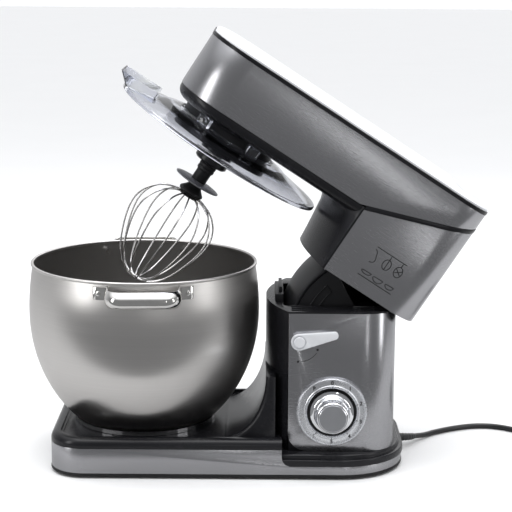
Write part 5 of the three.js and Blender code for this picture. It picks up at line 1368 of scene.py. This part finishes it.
class MIXER_OT_guard(bpy.types.Operator):
    """Make the clear splash guard with its pouring chute and its clips"""
    bl_idname = "mixer.guard"
    bl_label = "Splash Guard"

    def execute(self, context):
        s = sizes()
        low, rim = guard.z0, guard.y1
        collar = s.boss + 0.8 * MM
        dome = low + 17 * MM
        t = 2.4 * MM
        body = turned("clear_guard", closed([
            (collar, dome - 3.4 * MM), (collar + 18 * MM, dome - 2.9 * MM), (rim - 44 * MM, low + 10.2 * MM),
            (rim - 26 * MM, low + 7.2 * MM), (rim - 12 * MM, low + 4.0 * MM), (rim - 6 * MM, low + 2.2 * MM),
            (rim - 4 * MM, low + 0.8 * MM), (rim - 4 * MM, low), (rim - 0.4 * MM, low), (rim, low + 0.5 * MM),
            (rim, low + 3.6 * MM), (rim - 0.8 * MM, low + 4.8 * MM), (rim - 3 * MM, low + 5 * MM),
            (rim - 12 * MM, low + 6.4 * MM), (rim - 26 * MM, low + 9.6 * MM),
            (rim - 44 * MM, low + 12.6 * MM), (collar + 20 * MM, dome), (collar + t + MM, dome + MM),
            (collar + t, dome + 2.2 * MM),
            (collar + t, guard.z0 + 21.2 * MM), (collar + 0.4 * MM, guard.z0 + 21.6 * MM),
            (collar, guard.z0 + 21.2 * MM)]), DRIVE_X, 0, 144)
        outer = self.funnel("chute", 0, low + MM, low + 19 * MM)
        inner = self.funnel("chute_inside", 2.2 * MM, low - 4 * MM, low + 22 * MM)
        carve(body, outer, "UNION")
        carve(body, inner)
        soften(body, 0.5 * MM, 2, 50)
        finish_head(body, finishes["clear"], "splash_guard", body="guard", smooth=40)
        clips = []
        for angle in (-118, -62, 62, 118):
            a = math.radians(angle)
            clip = block("clip", 0.6 * MM, 9 * MM, -9 * MM, 9 * MM, 0, 12 * MM)
            soften(clip, 1.2 * MM, 2)
            place = Matrix.Translation((DRIVE_X, 0, dome + 1.8 * MM)) @ Matrix.Rotation(a, 4, "Z") \
                @ Matrix.Translation((collar + t + 0.4 * MM, 0, 0))
            clips.append(moved(clip, place))
        finish_head(gathered("guard_clips", clips), finishes["clear"], body="guard")
        return {"FINISHED"}

    def funnel(self, name, wall, low, high):
        """The chute's shape: its front leans out towards its wide mouth."""
        z0, tall = guard.z0, 19 * MM

        def front(z):
            return guard.y1 - 8 * MM + (19 * MM) * (z - z0) / tall - wall

        def half(z):
            return 31 * MM + 8 * MM * (z - z0) / tall - wall

        back = 100 * MM + wall
        piece = block(name, DRIVE_X - front(low), DRIVE_X - back, -half(low), half(low), low, high)
        pick(piece, "VERT", lambda co: co.z > high - 1e-5)
        bpy.ops.transform.resize(value=(1, half(high) / half(low), 1), center_override=(0, 0, high))
        done()
        pick(piece, "VERT", lambda co: co.z > high - 1e-5 and co.x < DRIVE_X - back - 1e-4)
        bpy.ops.transform.translate(value=(front(low) - front(high), 0, 0))
        done()
        return piece


class MIXER_OT_whisk(bpy.types.Operator):
    """Make the whisk: its hub, drip shield and looped wires"""
    bl_idname = "mixer.whisk"
    bl_label = "Whisk"

    def execute(self, context):
        self.hub()
        self.shield()
        self.wires()
        return {"FINISHED"}

    def hub(self):
        stem, flare_r = 9.8 * MM, 16.5 * MM
        z0, z1 = hub.z0, hub.z1
        neck_z, disc_z = z0 + 12 * MM, (drip.z0 + drip.z1) / 2
        body = turned("whisk_stem", [
            (0, z0), (flare_r - 4 * MM, z0), (flare_r - 1.2 * MM, z0 + 0.8 * MM), (flare_r, z0 + 2.6 * MM),
            (flare_r - 0.6 * MM, z0 + 4.6 * MM), (stem + 3.6 * MM, z0 + 7 * MM),
            (stem + 1.2 * MM, z0 + 9.4 * MM), (stem - 0.4 * MM, neck_z), (stem - 0.8 * MM, neck_z + 2 * MM),
            (stem - 0.8 * MM, disc_z - 3 * MM),
            (stem + 1.2 * MM, disc_z - 1.4 * MM), (stem + 1.2 * MM, disc_z - 0.9 * MM),
            (stem - 0.6 * MM, disc_z - 0.9 * MM), (stem - 0.6 * MM, disc_z + 1.2 * MM),
            (stem, disc_z + 1.8 * MM), (stem, z1 - 11 * MM), (stem + 0.5 * MM, z1 - 9.6 * MM),
            (stem + 1.6 * MM, z1 - 8.6 * MM), (stem + 1.6 * MM, z1 - 5.6 * MM), (stem + MM, z1 - 5 * MM),
            (stem + MM, z1 - 4.2 * MM), (stem + 1.6 * MM, z1 - 3.6 * MM), (stem + 1.6 * MM, z1 - 0.8 * MM),
            (stem + 0.8 * MM, z1), (7 * MM, z1), (6.6 * MM, z1 - 0.6 * MM), (6.6 * MM, z1 - 28 * MM),
            (0, z1 - 28 * MM)], DRIVE_X, PLANET_Y, 96)
        finish_head(body, finishes["matte_black"], "whisk_hub", body="whisk", smooth=40)

    def shield(self):
        r = (drip.y1 - drip.y0) / 2
        bore = 9.6 * MM
        piece = turned("drip_disc", closed([
            (bore, drip.z1 - 1.6 * MM), (bore + 4 * MM, drip.z1 - 1.9 * MM), (r - 3 * MM, drip.z0 + 0.4 * MM),
            (r - 0.4 * MM, drip.z0), (r, drip.z0 + 0.5 * MM), (r, drip.z0 + 1.3 * MM),
            (r - 0.6 * MM, drip.z0 + 1.6 * MM), (bore + 4 * MM, drip.z1 - 0.3 * MM), (bore, drip.z1)]),
            DRIVE_X, PLANET_Y, 128)
        finish_head(piece, finishes["grey"], "drip_shield", body="whisk", smooth=40)

    def wires(self):
        s = sizes()
        belly = (wires.y1 - wires.y0) / 2 - s.wire
        low, top_z = wires.z0 + s.wire, hub.z0 - 0.4 * MM
        tall = top_z - 3 * MM - low
        half = [(0.10, 1.02), (0.30, 1.015), (0.50, 0.99), (0.68, 0.945), (0.84, 0.87), (0.94, 0.785),
                (0.985, 0.70), (0.975, 0.61), (0.93, 0.51), (0.86, 0.41), (0.77, 0.305), (0.655, 0.20),
                (0.52, 0.11), (0.36, 0.045), (0.18, 0.008), (0.0, 0.0)]
        loops = []
        for i in range(6):
            a = math.pi * i / 6 + math.radians(4)
            line = []
            for side, shares in ((1, half), (-1, half[-2::-1])):
                for share, height in shares:
                    lift = 0.0011 * (i % 3) * max(0.0, 1 - share * 3) * (1 if height < 0.1 else 0)
                    line.append((DRIVE_X + side * share * belly * math.cos(a),
                                 PLANET_Y + side * share * belly * math.sin(a), low + height * tall + lift))
            loops.append(tube(f"whisk_loop_{i + 1}", line, s.wire, 4))
        plate = turned("wire_plate", [
            (0, top_z - 3.4 * MM), (12.4 * MM, top_z - 3.4 * MM), (13.2 * MM, top_z - 2.4 * MM),
            (13 * MM, top_z), (0, top_z)], DRIVE_X, PLANET_Y, 64)
        finish_head(plate, finishes["matte_black"], body="whisk")
        finish_head(gathered("whisk_loops", loops), finishes["wire"], "whisk_wires", body="whisk", smooth=60)


# ---- Bowl --------------------------------------------------------------------------------------
def bowl_radius(z):
    """The bowl's outer radius at a height above the worktop."""
    s = sizes()
    belly = 149 * MM
    up, height = z - bowl.z0, bowl.z1 - bowl.z0
    if up < s.bowl_widest:
        drop, share = (s.bowl_widest - up) / s.bowl_widest, 1 - (s.bowl_foot / belly) ** 2
    else:
        drop, share = (up - s.bowl_widest) / (height - s.bowl_widest), 1 - (s.bowl_rim / belly) ** 2
    return belly * math.sqrt(1 - share * drop * drop)


class MIXER_OT_bowl(bpy.types.Operator):
    """Make the bowl with its rolled rim and two riveted strap handles"""
    bl_idname = "mixer.bowl"
    bl_label = "Bowl"

    def execute(self, context):
        self.shell()
        for side, angle in (("rear", 0.0), ("front", math.pi)):
            self.handle(side, angle + sizes().bowl_turn)
        return {"FINISHED"}

    def shell(self):
        s = sizes()
        wall, bead = s.bowl_wall, 2 * MM
        neck_z = bowl.z1 - 2 * bead
        heights = [bowl.z0 + (neck_z - bowl.z0) * (i / 40) ** 0.9 for i in range(41)]
        outer = [(bowl_radius(z), z) for z in heights]
        rim = outer[-1][0]
        roll = [(rim + bead * 0.2 + bead * math.cos(a), bowl.z1 - bead + bead * math.sin(a))
                for a in [math.radians(-70 + 250 * i / 14) for i in range(15)]]
        inner = [(bowl_radius(z) - wall, z) for z in reversed(heights) if z > bowl.z0 + 2 * MM]
        foot = s.bowl_foot
        profile = [(0, bowl.z0 + 0.8 * MM), (foot - 12 * MM, bowl.z0 + 0.8 * MM), (foot - 9 * MM, bowl.z0),
                   (foot - 2 * MM, bowl.z0), *outer[1:], *roll, *inner, (foot - 3 * MM, bowl.z0 + 1.6 * MM),
                   (foot - 7 * MM, bowl.z0 + 1.3 * MM), (0, bowl.z0 + 1.9 * MM)]
        piece = turned("bowl_body", profile, BOWL_X, 0, 192)
        finish(piece, finishes["bowl"], "bowl", "bowl_shell", smooth=40)
        # Inside faces get the darker steel: a real brushed finish, with painted shade inside the bowl.
        piece.data.materials.append(finishes["bowl_inside"])
        centre = Vector((BOWL_X, 0, 0))
        for face in piece.data.polygons:
            out = (face.center - centre) * Vector((1, 1, 0))
            in_floor = face.normal.z > 0.9 and face.center.z < bowl.z0 + 4 * MM
            inside = face.normal.dot(out) < -1e-9 or in_floor
            face.material_index = 1 if inside and face.center.z < bowl.z1 - 1.5 * bead else 0

    def handle(self, side, turn):
        """One strap bent out of flat steel and crowned, riveted through a flange at each end."""
        z = bowl.z1 - 14 * MM
        tall, reach, half = 20 * MM, 43 * MM, 46 * MM
        wall = bowl_radius(z - tall / 2) + 0.7 * MM
        out = wall + reach
        root = math.sqrt(wall ** 2 - half ** 2) + 0.2 * MM
        corner = 20 * MM
        path = [(-half, root), *arc(-half + corner + MM, out - corner, corner, 180, 96, 9),
                (-12 * MM, out - 0.1 * MM), (12 * MM, out - 0.1 * MM),
                *arc(half - corner - MM, out - corner, corner, 84, 0, 9), (half, root)]
        strap = drawn(f"{side}_strap", [(x, y, z - tall / 2) for x, y in path])
        edit_all(strap)
        levels = 8
        for _ in range(levels):
            bpy.ops.mesh.extrude_region_move(TRANSFORM_OT_translate={"value": (0, 0, tall / levels)})
        bpy.ops.mesh.select_all(action="SELECT")
        bpy.ops.mesh.normals_make_consistent(inside=False)
        done()
        for i in range(levels + 1):
            level = z - tall / 2 + tall * i / levels
            sag = (2 * i / levels - 1) ** 2
            pick(strap, "VERT", lambda co, level=level: abs(co.z - level) < 1e-5)
            bpy.ops.transform.resize(value=(1 - 0.07 * sag, 1 - 0.16 * sag, 1),
                                     center_override=(0, root, level))
            done()
        thicken(strap, 2.4 * MM, offset=0, even=False)
        soften(strap, 0.9 * MM, 3, 50)
        pieces = [strap]
        for dx in (-1, 1):
            x0, x1 = sorted((dx * (half - 3 * MM), dx * (half + 15 * MM)))
            pad = drum("pad", wall + 1.7 * MM, z - tall / 2 + 2 * MM, z + tall / 2 - 2 * MM, 0, 0, 192)
            carve(pad, drum("wall", wall + 0.1 * MM, z - 0.05, z + 0.05, 0, 0, 192))
            window = block("window", x0, x1, 0.06, 0.2, z - 0.05, z + 0.05)
            carve(pad, window, "INTERSECT")
            round_edges(pad, 4 * MM, lambda a, b, e=dx * (half + 15 * MM): abs(a.x - e) < 1e-5
                        and abs(b.x - e) < 1e-5 and abs(a.z - b.z) < 1e-6, 4)
            x = dx * 54 * MM
            y = math.sqrt(wall ** 2 - x ** 2)
            rivet = turned("rivet", [(0, -9 * MM), (3.4 * MM, -9 * MM), (3.4 * MM, -8.6 * MM),
                                     (3 * MM, -7 * MM), (1.6 * MM, -6 * MM), (1.6 * MM, 0.6 * MM),
                                     (3.3 * MM, 1.3 * MM), (3.1 * MM, 2.4 * MM), (2.2 * MM, 3.1 * MM),
                                     (0, 3.4 * MM)], sides=32)
            outward = math.atan2(x, y)
            place = Matrix.Translation((x, y, z)) @ Matrix.Rotation(-outward, 4, "Z") \
                @ Matrix.Rotation(-math.pi / 2, 4, "X")
            pieces += [pad, moved(rivet, place)]
        handle = gathered(f"{side}_strap_handle", pieces)
        place = Matrix.Translation((BOWL_X, 0, 0)) @ Matrix.Rotation(turn, 4, "Z")
        finish(moved(handle, place), finishes["handle"], "bowl", f"handle_{side}", smooth=40)


# ---- Stage -------------------------------------------------------------------------------------
CAMERA_PLACE = (0.003, -1.969, 0.6516)
CAMERA_PITCH, CAMERA_ROLL = math.radians(78.8), math.radians(0.4)
LENS, SENSOR = 108.98, 36  # millimetres
LIGHTS_LOOK_AT = Vector((0, 0, 0.25))


def softbox(name, azimuth, elevation, distance, wide, tall, power):
    """A soft light that looks at the mixer's middle: azimuth 0 is the near side, positive to the right."""
    a, e = math.radians(azimuth), math.radians(elevation)
    away = Vector((math.sin(a) * math.cos(e), -math.cos(a) * math.cos(e), math.sin(e)))
    at = LIGHTS_LOOK_AT + distance * away
    data = bpy.data.lights.new(name, "AREA")
    data.shape, data.size, data.size_y, data.energy = "RECTANGLE", wide, tall, power
    lamp = bpy.data.objects.new(name, data)
    bpy.context.scene.collection.objects.link(lamp)
    facing = (LIGHTS_LOOK_AT - at).to_track_quat("-Z", "Y")
    lamp.matrix_world = Matrix.Translation(at) @ facing.to_matrix().to_4x4()


class MIXER_OT_stage(bpy.types.Operator):
    """Make the camera, the pale floor and the soft studio light"""
    bl_idname = "mixer.stage"
    bl_label = "Stage"

    def execute(self, context):
        data = bpy.data.cameras.new("camera")
        data.lens, data.sensor_width = LENS, SENSOR
        camera = bpy.data.objects.new("camera", data)
        context.scene.collection.objects.link(camera)
        camera.matrix_world = (Matrix.Translation(CAMERA_PLACE) @ Matrix.Rotation(CAMERA_PITCH, 4, "X")
                               @ Matrix.Rotation(CAMERA_ROLL, 4, "Z"))
        context.scene.camera = camera
        self.floor()
        context.scene.view_settings.view_transform = "Standard"
        self.world()
        softbox("left_light", -58, 14, 1.7, 0.36, 1.1, 7)
        softbox("right_light", 62, 10, 1.9, 0.28, 1.1, 5)
        softbox("near_right_strip", 14, 4, 2.3, 0.08, 0.9, 1.2)
        softbox("top_light", 0, 80, 1.9, 2.2, 1.6, 30)
        softbox("back_light", 150, 30, 2.2, 1.4, 1.2, 8)
        return {"FINISHED"}

    def floor(self):
        """A pale floor, dimmer where something mirrors it."""
        clear_selection()
        bpy.ops.mesh.primitive_plane_add(size=1, location=(0, 7.73, -0.0002))
        bpy.context.object.scale = (14, 16, 1)
        floor = named("floor")
        edit_all(floor)
        bpy.ops.mesh.subdivide(number_cuts=3)
        done()
        material, graph, shader = start_material("Floor", "floor")
        place = graph.node("ShaderNodeTexCoord").outputs["Object"]
        mirrored = graph.node("ShaderNodeLightPath").outputs["Is Glossy Ray"]
        shade = graph.math("MULTIPLY", graph.spread(graph.noise(place, 3.0), 0.985, 1.015),
                           graph.spread(mirrored, 1.0, 0.6))
        graph.link(graph.tint(rgba(colours().floor), shade), shader.inputs["Base Color"])
        shader.inputs["Roughness"].default_value = 0.7
        floor.data.materials.append(material)

    def world(self):
        """Bright behind the mixer, a calm grey in front of it, and white where the camera looks past it."""
        world = bpy.data.worlds.new("studio")
        bpy.context.scene.world = world
        world.use_nodes = True
        graph = Graph(world.node_tree)
        graph.tree.nodes.clear()
        direction = graph.node("ShaderNodeTexCoord").outputs["Generated"]
        parts = graph.node("ShaderNodeSeparateXYZ")
        graph.link(direction, parts.inputs[0])
        behind = graph.spread(parts.outputs["Y"], 0.26, 0.70, -0.1, 0.6)
        above = graph.spread(parts.outputs["Z"], 0.0, 1.7, 0.45, 0.85)
        level = graph.math("MAXIMUM", behind, above)
        seen = graph.node("ShaderNodeLightPath").outputs["Is Camera Ray"]
        backdrop = graph.node("ShaderNodeBackground")
        strength = graph.math("MAXIMUM", level, graph.math("MULTIPLY", seen, 1.05))
        graph.link(strength, backdrop.inputs["Strength"])
        backdrop.inputs["Color"].default_value = (0.97, 0.98, 1.0, 1)
        graph.link(backdrop.outputs[0], graph.node("ShaderNodeOutputWorld").inputs["Surface"])


# ---- Panel and registration --------------------------------------------------------------------
class MIXER_PT_panel(bpy.types.Panel):
    """Lists the mixer's steps and sizes"""
    bl_idname = "MIXER_PT_panel"
    bl_label = "Stand Mixer"
    bl_space_type = "VIEW_3D"
    bl_region_type = "UI"
    bl_category = "Mixer"

    def draw(self, context):
        layout = self.layout
        for step in STEPS:
            layout.operator(step.bl_idname)
        for group in (context.scene.mixer_sizes, context.scene.mixer_colours):
            box = layout.box()
            for key in group.bl_rna.properties.keys():
                if key not in {"rna_type", "name"}:
                    box.prop(group, key)


STEPS = (MIXER_OT_stage, MIXER_OT_cord, MIXER_OT_base, MIXER_OT_column, MIXER_OT_controls, MIXER_OT_head,
         MIXER_OT_neck, MIXER_OT_drive, MIXER_OT_guard, MIXER_OT_whisk, MIXER_OT_bowl)
CLASSES = (MixerSizes, MixerColours, *STEPS, MIXER_PT_panel)


def register():
    for cls in CLASSES:
        bpy.utils.register_class(cls)
    bpy.types.Scene.mixer_sizes = bpy.props.PointerProperty(type=MixerSizes)
    bpy.types.Scene.mixer_colours = bpy.props.PointerProperty(type=MixerColours)


def unregister():
    del bpy.types.Scene.mixer_sizes
    del bpy.types.Scene.mixer_colours
    for cls in reversed(CLASSES):
        bpy.utils.unregister_class(cls)


def main():
    register()
    finishes.update(make_materials())
    bpy.ops.mixer.stage()
    bpy.ops.mixer.cord()
    bpy.ops.mixer.base()
    bpy.ops.mixer.column()
    bpy.ops.mixer.controls()
    bpy.ops.mixer.head()
    bpy.ops.mixer.neck()
    bpy.ops.mixer.drive()
    bpy.ops.mixer.guard()
    bpy.ops.mixer.whisk()
    bpy.ops.mixer.bowl()
    clear_selection()


if __name__ == "__main__":
    main()
